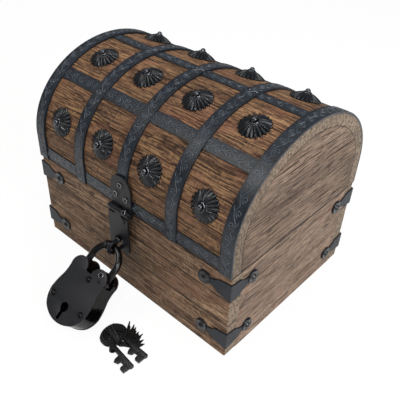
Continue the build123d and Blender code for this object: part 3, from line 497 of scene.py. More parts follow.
def mesh_from(curve):
    """The mesh of a curve with its thickness."""
    holder = bpy.data.objects.new(curve.name, curve)
    mesh = bpy.data.meshes.new_from_object(holder)
    bpy.data.objects.remove(holder)
    return mesh


def curve_mesh(name, lines, radius, sides=1, closed=False, taper=1.0):
    """A mesh of round beads along lines of points, thinned to a share at their ends."""
    curve = bpy.data.curves.new(name, "CURVE")
    curve.dimensions = "3D"
    curve.bevel_depth = radius
    curve.bevel_resolution = sides
    curve.use_fill_caps = True
    for points in lines:
        spline = curve.splines.new("POLY")
        spline.points.add(len(points) - 1)
        for index, (point, place) in enumerate(zip(spline.points, points)):
            point.co = (*place, 1.0)
            point.radius = 1 + (taper - 1) * index / (len(points) - 1)
        spline.use_cyclic_u = closed
    return mesh_from(curve)


def flat_mesh(name, outlines, thick, bevel):
    """A flat plate with eased edges, centred on Z = 0. Its outline and holes are in millimetres."""
    curve = bpy.data.curves.new(name, "CURVE")
    curve.dimensions = "2D"
    curve.fill_mode = "BOTH"
    curve.extrude = thick / 2 - bevel
    curve.bevel_depth = bevel
    curve.bevel_resolution = 2
    curve.offset = -bevel
    for outline in outlines:
        spline = curve.splines.new("POLY")
        spline.points.add(len(outline) - 1)
        for point, (x, y) in zip(spline.points, outline):
            point.co = (x * MM, y * MM, 0.0, 1.0)
        spline.use_cyclic_u = True
    return mesh_from(curve)


def arc_through(start, middle, end, steps=12):
    """Points along the arc through three points, without the last one."""
    ax, ay, bx, by, cx, cy = *start, *middle, *end
    d = 2 * (ax * (by - cy) + bx * (cy - ay) + cx * (ay - by))
    a, b, c = ax * ax + ay * ay, bx * bx + by * by, cx * cx + cy * cy
    ux = (a * (by - cy) + b * (cy - ay) + c * (ay - by)) / d
    uy = (a * (cx - bx) + b * (ax - cx) + c * (bx - ax)) / d
    radius = math.hypot(ax - ux, ay - uy)
    angles = [math.atan2(y - uy, x - ux) for x, y in (start, middle, end)]
    sweep = (angles[2] - angles[0]) % math.tau
    if (angles[1] - angles[0]) % math.tau > sweep:
        sweep -= math.tau
    turns = [angles[0] + sweep * step / steps for step in range(steps)]
    return [(ux + radius * math.cos(turn), uy + radius * math.sin(turn)) for turn in turns]


ARCH_STEPS = 720


class Arch:
    """The lid's outer surface, unrolled: run is measured from the front spring line."""

    def __init__(self):
        self.shape = bpy.context.scene.chest_shape
        self.angles = [math.pi * step / ARCH_STEPS for step in range(ARCH_STEPS + 1)]
        places = [self.point(angle) for angle in self.angles]
        self.runs = [0.0]
        for first, second in zip(places, places[1:]):
            self.runs.append(self.runs[-1] + math.dist(first, second))

    def point(self, angle):
        """The depth and height of the wood at an angle from the front."""
        shape = self.shape
        return (
            -shape.half_depth * math.cos(angle),
            shape.wall_top + shape.arch_rise * math.sin(angle),
        )

    def run_at(self, share):
        """The run at a share of the arch's half turn."""
        return self.runs[round(share * ARCH_STEPS)]

    def strap_run(self, name):
        """The run of the middle of a strap along the lid."""
        wide = self.shape.half_depth + self.shape.strap_lift / 2
        return sum(self.run_at(math.acos(-end.y / wide) / math.pi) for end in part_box(name)) / 2

    def place(self, x, run, lift):
        """The point at x and run, lifted off the wood."""
        shape = self.shape
        if run <= 0:
            return Vector((x, -shape.half_depth - lift, shape.wall_top + run))
        over = run - self.runs[-1]
        if over >= 0:
            return Vector((x, shape.half_depth + lift, shape.wall_top - over))
        low = bisect.bisect_right(self.runs, run) - 1
        part = (run - self.runs[low]) / (self.runs[low + 1] - self.runs[low])
        angle = self.angles[low] + part * (self.angles[low + 1] - self.angles[low])
        y, z = self.point(angle)
        normal = Vector((0.0, -shape.arch_rise * math.cos(angle), shape.half_depth * math.sin(angle)))
        return Vector((x, y, z)) + normal.normalized() * lift


ARCH_STRAPS = ("front_arch_strap", "crown_strap", "back_arch_strap")
ROSETTE_ROW_SHARES = (0.1111, 0.3836, 0.6278, 0.8889)
ROSETTE_DRIFT = ((0.0, 3.0), (-1.5, 1.5), (-1.5, 0.6), (0.8, 2.8))


def band_places():
    """The middles of the five bands along the lid."""
    low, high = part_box("left_end_band"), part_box("right_end_band")
    first = (low[0].x + low[1].x) / 2
    last = (high[0].x + high[1].x) / 2
    return [first + (last - first) * step / 4 for step in range(5)]


class CHEST_OT_camera(bpy.types.Operator):
    """Sets the camera where the photograph was taken from"""

    bl_idname = "chest.camera"
    bl_label = "Camera"

    def execute(self, context):
        data = bpy.data.cameras.new("camera")
        data.sensor_width = 36.0
        data.lens = 48.298
        data.shift_x = -0.00338
        data.shift_y = 0.00125
        data.clip_start = 0.02
        data.clip_end = 20.0
        camera = bpy.data.objects.new("camera", data)
        camera.location = (0.345455, -0.38819, 0.458253)
        camera.rotation_euler = [math.radians(turn) for turn in (52.7816, -2.2643, 42.376)]
        context.scene.collection.objects.link(camera)
        context.scene.camera = camera
        return {"FINISHED"}


HANK_MIDDLE = (47.5 * MM, -170.4 * MM)
HANK_TURN = 80.0
STRAND = 0.8 * MM


class CHEST_OT_thread(bpy.types.Operator):
    """Winds the black thread over the keys' bows, with its knot and its cut ends"""

    bl_idname = "chest.thread"
    bl_label = "Thread"

    def execute(self, context):
        thread = context.scene.chest_thread
        points = self.turns(thread)
        curve = bpy.data.curves.new("thread_hank", "CURVE")
        curve.dimensions = "3D"
        curve.bevel_depth = thread.diameter / 2
        curve.bevel_resolution = 2
        curve.resolution_u = 4
        curve.use_fill_caps = True
        spline = curve.splines.new("NURBS")
        spline.points.add(len(points) - 1)
        for point, place in zip(spline.points, points):
            point.co = (*place, 1.0)
        spline.order_u = 3
        spline.use_endpoint_u = True
        curve.materials.append(cotton())
        hank = bpy.data.objects.new("thread_hank", curve)
        context.scene.collection.objects.link(hank)
        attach(hank, "keys")
        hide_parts("key_thread")
        ends = self.cut_ends(random.Random(7))
        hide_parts("key_thread_ends")
        knot = self.knot()
        return {"FINISHED"}

    def turns(self, thread):
        """Loose turns in two layers, the upper one leaning and shifted a little from the lower."""
        points = []
        steps = 12
        in_layer = thread.turns * steps
        loose = 1.03
        for index in range(thread.layers * in_layer + 1):
            layer = min(index // in_layer, thread.layers - 1)
            done = (index - layer * in_layer) / steps
            out = done if layer % 2 == 0 else thread.turns - done
            radius = thread.first_radius + thread.pitch * max(out - 0.25, 0.0)
            angle = math.tau * index / steps - math.pi / 2
            long = thread.half_run * max(-1.0, min(1.0, 1.7 * math.cos(angle)))
            lean = (-5.0, 4.0)[layer % 2]
            x = loose * (long + radius * math.cos(angle))
            y = loose * radius * math.sin(angle)
            place = self.hank_place(x, y, lean) + Vector(((0.0, 0.0), (0.5, -0.4))[layer % 2]) * MM
            rise = layer if layer == 0 else layer - max(0.0, 1 - done * 3)
            height = thread.lowest + thread.pitch * rise
            # The left of the hank droops by up to 2.6 mm
            droop = max(0.0, min(1.0, (42.0 * MM - place.x) / (6.0 * MM)))
            height -= droop * 2.6 * MM
            points.append((place.x, place.y, height))
        return points

    def hank_place(self, x, y, lean=0.0):
        """The place over the floor of a point along and across the hank."""
        turn = math.radians(HANK_TURN + lean)
        along = x * math.cos(turn) - y * math.sin(turn)
        across = x * math.sin(turn) + y * math.cos(turn)
        return Vector((HANK_MIDDLE[0] + along, HANK_MIDDLE[1] + across))

    def cut_ends(self, chance):
        """The frayed tassel: locks of loose ends that fan out over the floor."""
        locks = (
            (58.4, (43.4, -145.2)), (60.0, (48.6, -149.4)), (60.6, (50.4, -145.0)), (61.8, (52.8, -147.8)),
            (62.8, (54.4, -146.2)), (64.2, (58.0, -149.0)), (65.4, (61.0, -148.2)), (67.0, (63.8, -150.4)),
            (68.4, (66.0, -147.0)), (69.8, (69.2, -154.4)), (71.0, (72.2, -151.6)), (72.8, (76.8, -154.6)),
        )
        lines = []
        for base, tip in locks:
            for strand in range(9):
                start, end = Vector((base, -163.4)), Vector(tip)
                aside = Vector((0.45 * (strand - 4) + chance.uniform(-0.3, 0.3), chance.uniform(-0.4, 0.4)))
                reach = 1.0 if strand % 3 == 1 else chance.uniform(0.7, 0.97)
                low = 0.9 + 0.9 * (strand % 4)
                line = []
                for step in range(7):
                    part = reach * step / 6
                    place = start.lerp(end, part) + aside * (1 - 0.9 * part**2)
                    line.append((place.x * MM, place.y * MM, (low + (0.6 - low) * part) * MM))
                lines.append(line)
        work = bmesh.new()
        work.from_mesh(curve_mesh("thread_ends", lines, 0.9 * MM, 2, taper=0.5))
        lines = []
        for strand in range(13):
            height = 1.1 + 0.75 * (strand % 4)
            line = [(53.5, -169.0 - 0.5 * strand, height), (61.0, -168.4 - 0.48 * strand, height)]
            line.append((70.6 - 0.55 * strand, -167.4 - 0.3 * strand, 1.0))
            lines.append([tuple(MM * part for part in point) for point in line])
        work.from_mesh(curve_mesh("thread_bundle", lines, STRAND, 2))
        return finish_mesh(work, "thread_ends", cotton(), "keys")

    def knot(self):
        """The binding round the hank, its outer turns and the knot beside the nearer key."""
        place = Matrix.Translation((0.0592, -0.1828, 0.0034)) @ Matrix.Rotation(math.radians(-40.0), 4, "Z")
        coil = []
        for step in range(49):
            turn = math.tau * step / 12
            point = ((step / 48 - 0.5) * 6.4, 2.5 * math.cos(turn), 2.5 * math.sin(turn))
            coil.append(place @ (Vector(point) * MM))
        lines = [coil]
        profile = (
            (-10.6, 2.4), (-10.9, 5.0), (-10.2, 8.2), (-8.0, 9.7), (-3.0, 10.0), (4.0, 10.0), (8.8, 9.7),
            (11.0, 7.0), (11.2, 4.0), (11.0, 2.0),
        )
        for shift, lean in ((-4.6, 14.0), (-2.8, 9.0), (-1.0, 5.0), (0.8, 2.0), (2.7, -3.0)):
            line = []
            for across, height in profile:
                spot = self.hank_place((shift + 0.2 * across) * MM, across * MM, lean)
                line.append((spot.x, spot.y, height * MM))
            lines.append(line)
        # Two of the binding strands take a lighter grey copy of the black thread: a painted highlight
        bright = bmesh.new()
        bright.from_mesh(curve_mesh("thread_sheen", [lines.pop(4), lines.pop(2)], STRAND, 2))
        lit = cotton("black cotton thread, where it catches the light", "#333437")
        sheen = finish_mesh(bright, "thread_sheen", lit, "keys")
        work = bmesh.new()
        work.from_mesh(curve_mesh("thread_knot", lines, STRAND, 2))
        outer = (
            (39.4, -183.2), (35.1, -176.7), (34.0, -170.5), (34.7, -164.8), (36.6, -160.0), (42.1, -156.1),
            (48.2, -158.2), (54.6, -162.6), (57.4, -168.6), (57.0, -176.0), (53.1, -183.6), (46.5, -185.6),
        )
        rings = ((0.93, 1.4), (0.94, 3.0), (0.91, 4.6), (0.85, 2.2), (0.7, 3.4), (0.5, 3.0), (0.3, 3.2))
        lines = [self.loop_through(outer, share, height) for share, height in rings]
        work.from_mesh(curve_mesh("thread_outer", lines, STRAND, 2, closed=True))
        return [finish_mesh(work, "thread_knot", cotton(), "keys"), sheen]

    def loop_through(self, corners, share, height):
        """A smooth ring through corners drawn in by a share."""
        middle = Vector((46.2, -171.0))
        corners = [middle + (Vector(corner) - middle) * share for corner in corners]
        line = []
        for index in range(len(corners)):
            a, b, c, d = (corners[(index + step) % len(corners)] for step in (-1, 0, 1, 2))
            for step in range(4):
                t = step / 4
                spot = 2 * b + (c - a) * t + (2 * a - 5 * b + 4 * c - d) * t**2
                spot = 0.5 * (spot + (3 * b - a - 3 * c + d) * t**3)
                line.append((spot.x * MM, spot.y * MM, height * MM))
        return line


BASE_SEAMS = (45.5 * MM, 79.5 * MM)


class CHEST_OT_boards(bpy.types.Operator):
    """Gives every board its timber"""

    bl_idname = "chest.boards"
    bl_label = "Boards"

    def execute(self, context):
        tones = context.scene.chest_timber
        lid, base = (
            [getattr(tones, f"{part}_{tone}") for tone in ("dark", "mid", "light", "red")]
            + [tones.wash, tones.end_grain]
            for part in ("lid", "base")
        )
        shape = context.scene.chest_shape
        gap = (shape.lid_bottom - 0.3 * MM,)
        lid_boards = (
            ("lid_front_board", 0.72), ("lid_stave_1", 0.8), ("lid_stave_2", 0.98), ("lid_stave_3", 0.92),
            ("lid_stave_4", 1.04), ("lid_stave_5", 0.9), ("lid_back_board", 1.0),
        )
        for index, (name, tone) in enumerate(lid_boards):
            shift = 0.31 * (index + 1)
            dress(timber(f"stained mango, {name}", lid, shift, wash=0.11, tone=tone, planks=gap), name)
        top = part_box("lid_right_panel")[1]
        rim = (top.y, shape.wall_top, top.z - shape.wall_top)
        for index, name in enumerate(("lid_right_panel", "lid_left_panel")):
            dress(timber(f"washed mango, {name}", base, 5.0 + index, "Y", 0.5, 0.82, gap, rim), name)
        seams = (*gap, *BASE_SEAMS)
        shade = ((0.03, 0.0, 0.078), (13.0, 0.0, 26.0))
        for index, name in enumerate(("base_front_board", "base_back_board")):
            wood = timber(f"stained mango, {name}", base, 7.0 + index, wash=0.1, planks=seams, shade=shade)
            dress(wood, name)
        for index, name in enumerate(("base_right_board", "base_left_board")):
            dress(timber(f"washed mango, {name}", base, 9.0 + index, "Y", 0.5, 1.1, gap, rim), name)
        dress(timber("stained mango, bottom", base, 11.0, wash=0.2), "base_bottom_board")
        return {"FINISHED"}


SCROLL_PITCH = 24.0 * MM


class CHEST_OT_straps(bpy.types.Operator):
    """Gives the straps and bands their iron, and raises the scrolls pressed into them"""

    bl_idname = "chest.straps"
    bl_label = "Straps and bands"

    def execute(self, context):
        names = [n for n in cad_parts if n.endswith(("_band", "_strap")) and n != "hasp_strap"]
        dress(steel("strap"), *names)
        arch = Arch()
        shape = context.scene.chest_shape
        tile = self.scroll()
        foot = shape.wall_top - shape.lid_bottom - 1.5 * MM
        ends = (-foot, arch.runs[-1] + foot)
        work = bmesh.new()
        for x in band_places():

            def on_band(co):
                return arch.place(x + co.y, co.x, shape.band_lift + co.z)

            self.emboss(work, tile, *ends, on_band)
        finish_mesh(work, "band_scrolls", steel("scroll"), "lid", recalc=False)
        half = shape.half_length - 1 * MM
        lower = shape.lower_strap_mid - shape.wall_top
        runs = [arch.strap_run(name) for name in ARCH_STRAPS] + [lower, arch.runs[-1] - lower]
        work = bmesh.new()
        for run in runs:

            def on_strap(co):
                return arch.place(co.x, run + co.y, shape.strap_lift + co.z)

            self.emboss(work, tile, -half, half, on_strap)
        finish_mesh(work, "strap_scrolls", steel("scroll"), "lid", recalc=False)
        self.pins(arch, shape)
        return {"FINISHED"}

    def emboss(self, work, tile, start, end, put):
        """Repeats the vine along a strip, every other one mirrored, between two edge beads."""
        count = int((end - start) / SCROLL_PITCH)
        step = (end - start) / count
        for index in range(count):
            first, flip = start + index * step, -1 if index % 2 else 1
            add_copy(work, tile, lambda co: put(Vector((first + co.x, flip * co.y, co.z))))
        count = int((end - start) / (2.5 * MM))
        line = [(start + (end - start) * step / count, 0.0, 0.0) for step in range(count + 1)]
        bead = curve_mesh("edge_bead", [line], 0.3 * MM, 1)
        inset = bpy.context.scene.chest_shape.strap_width / 2 - 0.55 * MM
        for side in (-inset, inset):
            add_copy(work, bead, lambda co: put(Vector((co.x, side, co.z))))

    def scroll(self):
        """One repeat of the vine: a wave with two curls and two leaves, lying on its strip."""
        repeat = SCROLL_PITCH / MM
        stem = [(s * repeat / 16, 2.9 * math.sin(math.tau * s / 16), 0.0) for s in range(17)]
        lines = [stem]
        for middle, way in ((repeat * 0.25, -1), (repeat * 0.75, 1)):
            curl = []
            for step in range(19):
                turn = step / 18
                radius = 3.3 * (1 - 0.78 * turn)
                angle = math.pi + turn * 2.6 * math.pi
                curl.append((middle + radius * math.cos(angle), way * (1.9 + radius * math.sin(angle)), 0.0))
            lines.append(curl)
            leaf = ((1.5, 3.4), (3.2, 4.9), (5.2, 4.6))
            lines.append([(middle + along, -way * across, 0.0) for along, across in leaf])
        lines = [[tuple(MM * part for part in point) for point in line] for line in lines]
        return curve_mesh("scroll_tile", lines, 0.5 * MM, 1)

    def pins(self, arch, shape):
        """Small nails in the screw finish, bright with wear and a painted highlight, where the crown strap
        goes under the bands between the end ones.
        """
        pin = turned_part("pin", [(0, 0.9), (0.7, 0.75), (1.15, 0.2), (1.15, -0.3)], 16)
        work = bmesh.new()
        crown = arch.strap_run(ARCH_STRAPS[1])
        for x in band_places()[1:4]:
            for nail in (x - 4.4 * MM, x + 4.4 * MM):
                add_copy(work, pin, lambda co: arch.place(nail + co.x, crown + co.y, shape.band_lift + co.z))
        finish_mesh(work, "band_pins", steel("screw"), "lid", recalc=False)


class CHEST_OT_rosettes(bpy.types.Operator):
    """Presses sixteen fluted rosettes and nails them to the lid"""

    bl_idname = "chest.rosettes"
    bl_label = "Rosettes"

    def execute(self, context):
        sizes = context.scene.chest_rosettes
        arch = Arch()
        shapes = (
            ("rosette_nails", mesh_of(self.flower(sizes), "rosette_flower"), steel("rosette")),
            ("rosette_balls", mesh_of(self.ball(sizes), "rosette_ball"), steel("ball")),
        )
        bands = band_places()
        for name, shape, material in shapes:
            chance = random.Random(3)
            work = bmesh.new()
            for share in ROSETTE_ROW_SHARES:
                # Nailed by hand: the front row wanders by up to 3 mm
                drift = ROSETTE_DRIFT if share == ROSETTE_ROW_SHARES[0] else ((0.0, 0.0),) * 4
                for left, right, (aside, down) in zip(bands, bands[1:], drift):
                    middle = (left + right) / 2 + aside * MM
                    run = arch.run_at(share) - down * MM
                    turn = Matrix.Rotation(chance.uniform(0, math.tau), 3, "Z")

                    def nailed(co):
                        spun = turn @ co
                        return arch.place(middle + spun.x, run + spun.y, spun.z)

                    add_copy(work, shape, nailed)
            piece = finish_mesh(work, name, material, "lid", 50.0)
            if name == "rosette_nails":
                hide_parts("rosettes")
        return {"FINISHED"}

    def ball(self, sizes):
        """The ball on its little ring."""
        crown, height = sizes.crown, sizes.height + 1.2 * MM
        profile = []
        for step in range(9):
            turn = math.radians(90 - step * 13.5)
            profile.append((sizes.ball * math.cos(turn), height + sizes.ball * math.sin(turn)))
        for back, rise in ((1.9, -0.3), (1.6, 0.7), (1.1, 1.0), (0.5, 0.7), (0.2, -0.4)):
            profile.append((crown - back * MM, sizes.height + rise * MM))
        profile.append((0.0, sizes.height - 0.4 * MM))
        return turned(profile, 32)

    def flower(self, sizes):
        """A dished disc with ridged petals."""
        crown, rim = sizes.crown, sizes.radius
        profile = [(0.0, sizes.height), (crown, sizes.height)]
        for step in range(1, 13):
            part = step / 12
            radius = crown + (rim - crown) * part
            profile.append((radius, sizes.height - (sizes.height - 1.3 * MM) * part ** 1.35))
        profile += [(rim - 0.1 * MM, 0.2 * MM), (rim - 0.6 * MM, -0.2 * MM), (0.0, -0.2 * MM)]
        work = turned(profile, sizes.petals * 8)
        for vert in work.verts:
            radius = math.hypot(vert.co.x, vert.co.y)
            part = (radius - crown) / (rim - crown)
            if part <= 0.01 or vert.co.z < 0.25 * MM - 0.001 * MM and radius < rim * 0.9:
                continue
            angle = math.atan2(vert.co.y, vert.co.x)
            groove = 1 - abs(math.sin(angle * sizes.petals / 2))
            if vert.co.z > 1.0 * MM:
                vert.co.z -= sizes.flute * groove * part**0.5 * (1 - 0.55 * part)
            shrink = 1 - 0.14 * groove * part**2
            vert.co.x *= shrink
            vert.co.y *= shrink
        return work


class CHEST_OT_brackets(bpy.types.Operator):
    """Finishes the corner brackets and turns the knobs of their screws"""

    bl_idname = "chest.brackets"
    bl_label = "Corner brackets"

    def execute(self, context):
        dress(steel("bracket"), *[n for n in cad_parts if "_bracket_" in n])
        knob = turned_part("knob", [
            (0, 3.2), (1.5, 3.0), (2.7, 2.2), (3.4, 0.9), (3.9, 0.55), (5.6, 0.6), (6.5, 1.1), (7.2, 0.9),
            (7.5, 0.0), (7.5, -0.1), (0, -0.1),
        ])
        shape = context.scene.chest_shape
        out = 1.55 * MM
        reach = 32 * MM
        work = bmesh.new()
        for z in (92.8 * MM, 23.2 * MM):
            for side in (-1, 1):
                for way in (-1, 1):
                    x, y = side * (shape.half_length - reach), way * (shape.half_depth + out)
                    self.nail(work, knob, (x, y, z), (0, way, 0))
                for way in (-1, 1):
                    x, y = side * (shape.half_length + out), way * (shape.half_depth - reach)
                    self.nail(work, knob, (x, y, z), (side, 0, 0))
        piece = finish_mesh(work, "bracket_knobs", steel("knob"), "chest", 50.0)
        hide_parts("bracket_screws")
        return {"FINISHED"}

    def nail(self, work, knob, place, outward):
        """Sets a knob on a bracket."""
        turn = Vector(outward).to_track_quat("Z", "Y").to_matrix()
        add_copy(work, knob, lambda co: Vector(place) + turn @ co)


class CHEST_OT_hinges(bpy.types.Operator):
    """Gives the butt hinges their finish"""

    bl_idname = "chest.hinges"
    bl_label = "Hinges"

    def execute(self, context):
        dress(steel("hasp"), *[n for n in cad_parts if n.endswith("_leaf")], "hinge_pins")
        dress(steel("screw"), "hinge_base_screws", "hinge_lid_screws")
        return {"FINISHED"}


# In millimetres: the padlock's foot below and behind the point that it hangs from, that point, the
# foot's clearance over the floor, and how far the shackle's middle is from that point
LOCK_FOOT = (95.3, 12.0)
LOCK_HOLD = (0.0, -126.0, 68.0)
FOOT_CLEAR = 0.3
SHACKLE_SAG = 0.4


def lock_place():
    """The lock's own frame, which leans out with its lower edge on the floor."""
    down, back = LOCK_FOOT
    tilt = math.atan2(back, down) + math.acos((LOCK_HOLD[2] - FOOT_CLEAR) / math.hypot(down, back))
    across = Vector((1.0, 0.0, 0.0))
    up = Vector((0.0, math.sin(tilt), math.cos(tilt)))
    out = Vector((0.0, -math.cos(tilt), math.sin(tilt)))
    turn = Matrix((across, up, out)).transposed().to_4x4()
    sag = Matrix.Translation((0, SHACKLE_SAG * MM, 0))
    return Matrix.Translation(Vector(LOCK_HOLD) * MM) @ turn @ sag


def screw_ring():
    """The bright ring round a screw's head: its brightness is partly wear and partly a painted highlight."""
    outer = [(2.1, 0.1), (2.2, 1.0), (2.5, 1.4), (2.9, 1.45), (3.25, 1.1), (3.4, 0.5), (3.4, 0.1)]
    return turned_part("screw_ring", outer + outer[:1])


def screw_heart():
    """The dark recess within the ring, with its domed middle."""
    profile = [(0, 1.0), (0.8, 0.85), (1.25, 0.35), (1.9, 0.25), (2.3, 0.5), (3.2, 0.3)]
    return turned_part("screw_heart", profile + [(3.2, -0.2), (0, -0.2)])


class CHEST_OT_hasp(bpy.types.Operator):
    """Finishes the hasp and turns its screws with their bright rings, which are partly wear and partly a
    painted highlight
    """

    bl_idname = "chest.hasp"
    bl_label = "Hasp"

    def execute(self, context):
        dress(steel("hasp"), "hasp_plate", "hasp_pin", "hasp_strap", "hasp_strap_rivet", "staple")
        dress(steel("screw"), "staple_screws")
        front = Matrix(((1, 0, 0), (0, 0, -1), (0, 1, 0)))
        lean = Matrix.Rotation(math.radians(-50.0), 3, "X") @ front
        stud = Vector((8.4, -116.2, 114.3)) * MM
        for name, form, material in (
            ("hasp_ring_screws", screw_heart(), steel("enamel")),
            ("hasp_screw_rings", screw_ring(), steel("screw")),
        ):
            work = bmesh.new()
            for x, z in ((0.0, 142.5), (-7.6, 129.0), (7.6, 127.6)):
                place = Vector((x, -112.15, z)) * MM
                add_copy(work, form, lambda co: place + front @ co)
            add_copy(work, form, lambda co: stud + lean @ (co * 0.85))
            piece = finish_mesh(work, name, material, "lid", 50.0)
            if name == "hasp_ring_screws":
                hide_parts("hasp_screws")
        profile = [(0, 4.4), (2.0, 4.0), (3.6, 2.6), (4.3, 0.9), (4.4, -0.8), (3.4, -1.8), (0, -1.8)]
        boss = turned_part("boss", profile)
        place = Vector((0.0, -119.6, 75.4)) * MM
        work = bmesh.new()
        add_copy(work, boss, lambda co: place + lean @ co)
        finish_mesh(work, "staple_boss", steel("gloss"), "chest", 50.0)
        self.collar()
        return {"FINISHED"}

    def collar(self):
        """The ribbed collar, 111.5 degrees round the shackle's bend of 18.6 mm."""
        collar = turned_part("collar", [
            (4.0, -3.2), (5.1, -3.2), (5.3, -2.2), (4.7, -1.2), (5.3, -0.5), (5.3, 0.5), (4.7, 1.2),
            (5.3, 2.2), (5.1, 3.2), (4.0, 3.2), (4.0, -3.2),
        ])
        bend, radius = math.radians(111.5), 18.6 * MM
        turn = Matrix.Rotation(bend, 4, "Z") @ Matrix.Rotation(math.radians(90.0), 4, "X")
        middle = (radius * math.cos(bend), radius * math.sin(bend) - radius, 0.0)
        where = lock_place() @ Matrix.Translation(middle) @ turn
        work = bmesh.new()
        add_copy(work, collar, lambda co: where @ co)
        finish_mesh(work, "shackle_collar", steel("gloss"), "shackle", 30.0)


# The middle of each plate and the outside of the faces, over the middle of the padlock, in millimetres
PLATE_MIDDLE = 11.2
FACE = 12.0


class CHEST_OT_padlock(bpy.types.Operator):
    """Builds the padlock's eased plates and finishes its steel"""

    bl_idname = "chest.padlock"
    bl_label = "Padlock"

    def execute(self, context):
        dress(steel("gloss"), "padlock_shackle")
        # The rim, and the domes below, take a darker copy of the shackle's enamel: painted shade
        dress(steel("enamel"), "padlock_rim")
        dress(steel("plate"), "padlock_rivets", "padlock_pivot_pin")
        dress(steel("hasp"), "padlock_key_post", "padlock_bolt")
        dress(steel("spring"), "padlock_bolt_spring")
        place = lock_place()
        outline = self.shield()
        for name, loops, height in (
            ("padlock_front_face", [outline, self.keyhole()], PLATE_MIDDLE),
            ("padlock_back_face", [outline], -PLATE_MIDDLE),
        ):
            plate = flat_mesh(name, loops, 1.6 * MM, 0.35 * MM)
            work = bmesh.new()
            add_copy(work, plate, lambda co: place @ Vector((co.x, co.y, co.z + height * MM)))
            piece = finish_mesh(work, name, steel("plate"), "padlock", 45.0)
            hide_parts(name.replace("face", "plate"))
        profile = [(0, 3.0), (1.3, 2.8), (2.5, 2.1), (3.2, 1.1), (3.4, 0.3), (3.4, -0.3), (0, -0.3)]
        dome = turned_part("dome", profile)
        work = bmesh.new()
        for x, y in ((-22.9, -74.5), (22.9, -74.5), (6.0, -41.3)):
            add_copy(work, dome, lambda co: place @ (co + Vector((x, y, FACE)) * MM))
        finish_mesh(work, "padlock_domes", steel("enamel"), "padlock", 50.0)
        # The pin's ring is painted bright as a highlight, round a dark head
        for name, form, material in (
            ("padlock_pin_head", screw_heart(), steel("enamel")),
            ("padlock_pin_ring", screw_ring(), steel("screw")),
        ):
            work = bmesh.new()
            add_copy(work, form, lambda co: place @ (co + Vector((16.4, -30.2, FACE)) * MM))
            finish_mesh(work, name, material, "padlock", 50.0)
        return {"FINISHED"}

    def shield(self):
        """Two round ears, a slight waist and a round foot, counted clockwise from the dip."""
        chain = (
            (26.2, -35.5), (25.4, -43.0), (26.2, -52.0), (28.6, -62.0), (29.6, -70.3), (27.7, -79.1),
            (22.6, -87.3),
        )
        right = arc_through((4.2, -35.5), (15.2, -24.5), (26.2, -35.5), 20)
        for first in (0, 2, 4):
            right += arc_through(*chain[first:first + 3], 8)
        right += arc_through((22.6, -87.3), (0.0, -95.7), (-22.6, -87.3), 24)[:13]
        return right + [(-x, y) for x, y in reversed(right[:-1])]

    def keyhole(self):
        """A round hole of 5.2 mm radius over a slot 4.2 mm wide."""
        half, radius, middle = 2.1, 5.2, -78.6
        neck, foot = middle - math.sqrt(radius**2 - half**2), middle - 14.0
        loop = arc_through((half, neck), (0.0, middle + radius), (-half, neck), 24)
        return loop + [(-half, neck), (-half, foot), (half, foot)]


class CHEST_OT_keys(bpy.types.Operator):
    """Casts the two keys"""

    bl_idname = "chest.keys"
    bl_label = "Keys"

    def execute(self, context):
        shaft = [(5.6, 2.3), (5.6, -2.3), (43.6, -2.3), (44.0, -1.2), (44.0, 1.2), (43.2, 2.3)]
        bit = [
            (22.8, 0.0), (24.6, -7.6), (26.6, -10.6), (31.0, -8.6), (31.4, -5.2), (36.0, -5.2), (36.2, -8.8),
            (37.6, -10.6), (43.4, -10.6), (43.4, 0.0),
        ]
        angles = [math.tau * step / 12 for step in range(13)]
        section = [(5.35 + 1.45 * math.cos(angle), 2.1 * math.sin(angle)) for angle in angles]
        parts = (
            flat_mesh("key_shaft", [shaft], 4.4 * MM, 1.1 * MM),
            flat_mesh("key_bit", [bit], 2.4 * MM, 0.35 * MM),
            turned_part("key_bow", section, 36),
        )
        work = bmesh.new()
        for x, y, turn in ((46.8, -178.6, -6.2), (47.5, -165.4, 0.6)):
            spin = Matrix.Rotation(math.radians(turn), 4, "Z")
            place = Matrix.Translation(Vector((x, y, 2.45)) * MM) @ spin
            for part in parts:
                add_copy(work, part, lambda co: place @ co)
        piece = finish_mesh(work, "key_pair", steel("key"), "keys", 45.0)
        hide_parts("padlock_keys")
        return {"FINISHED"}


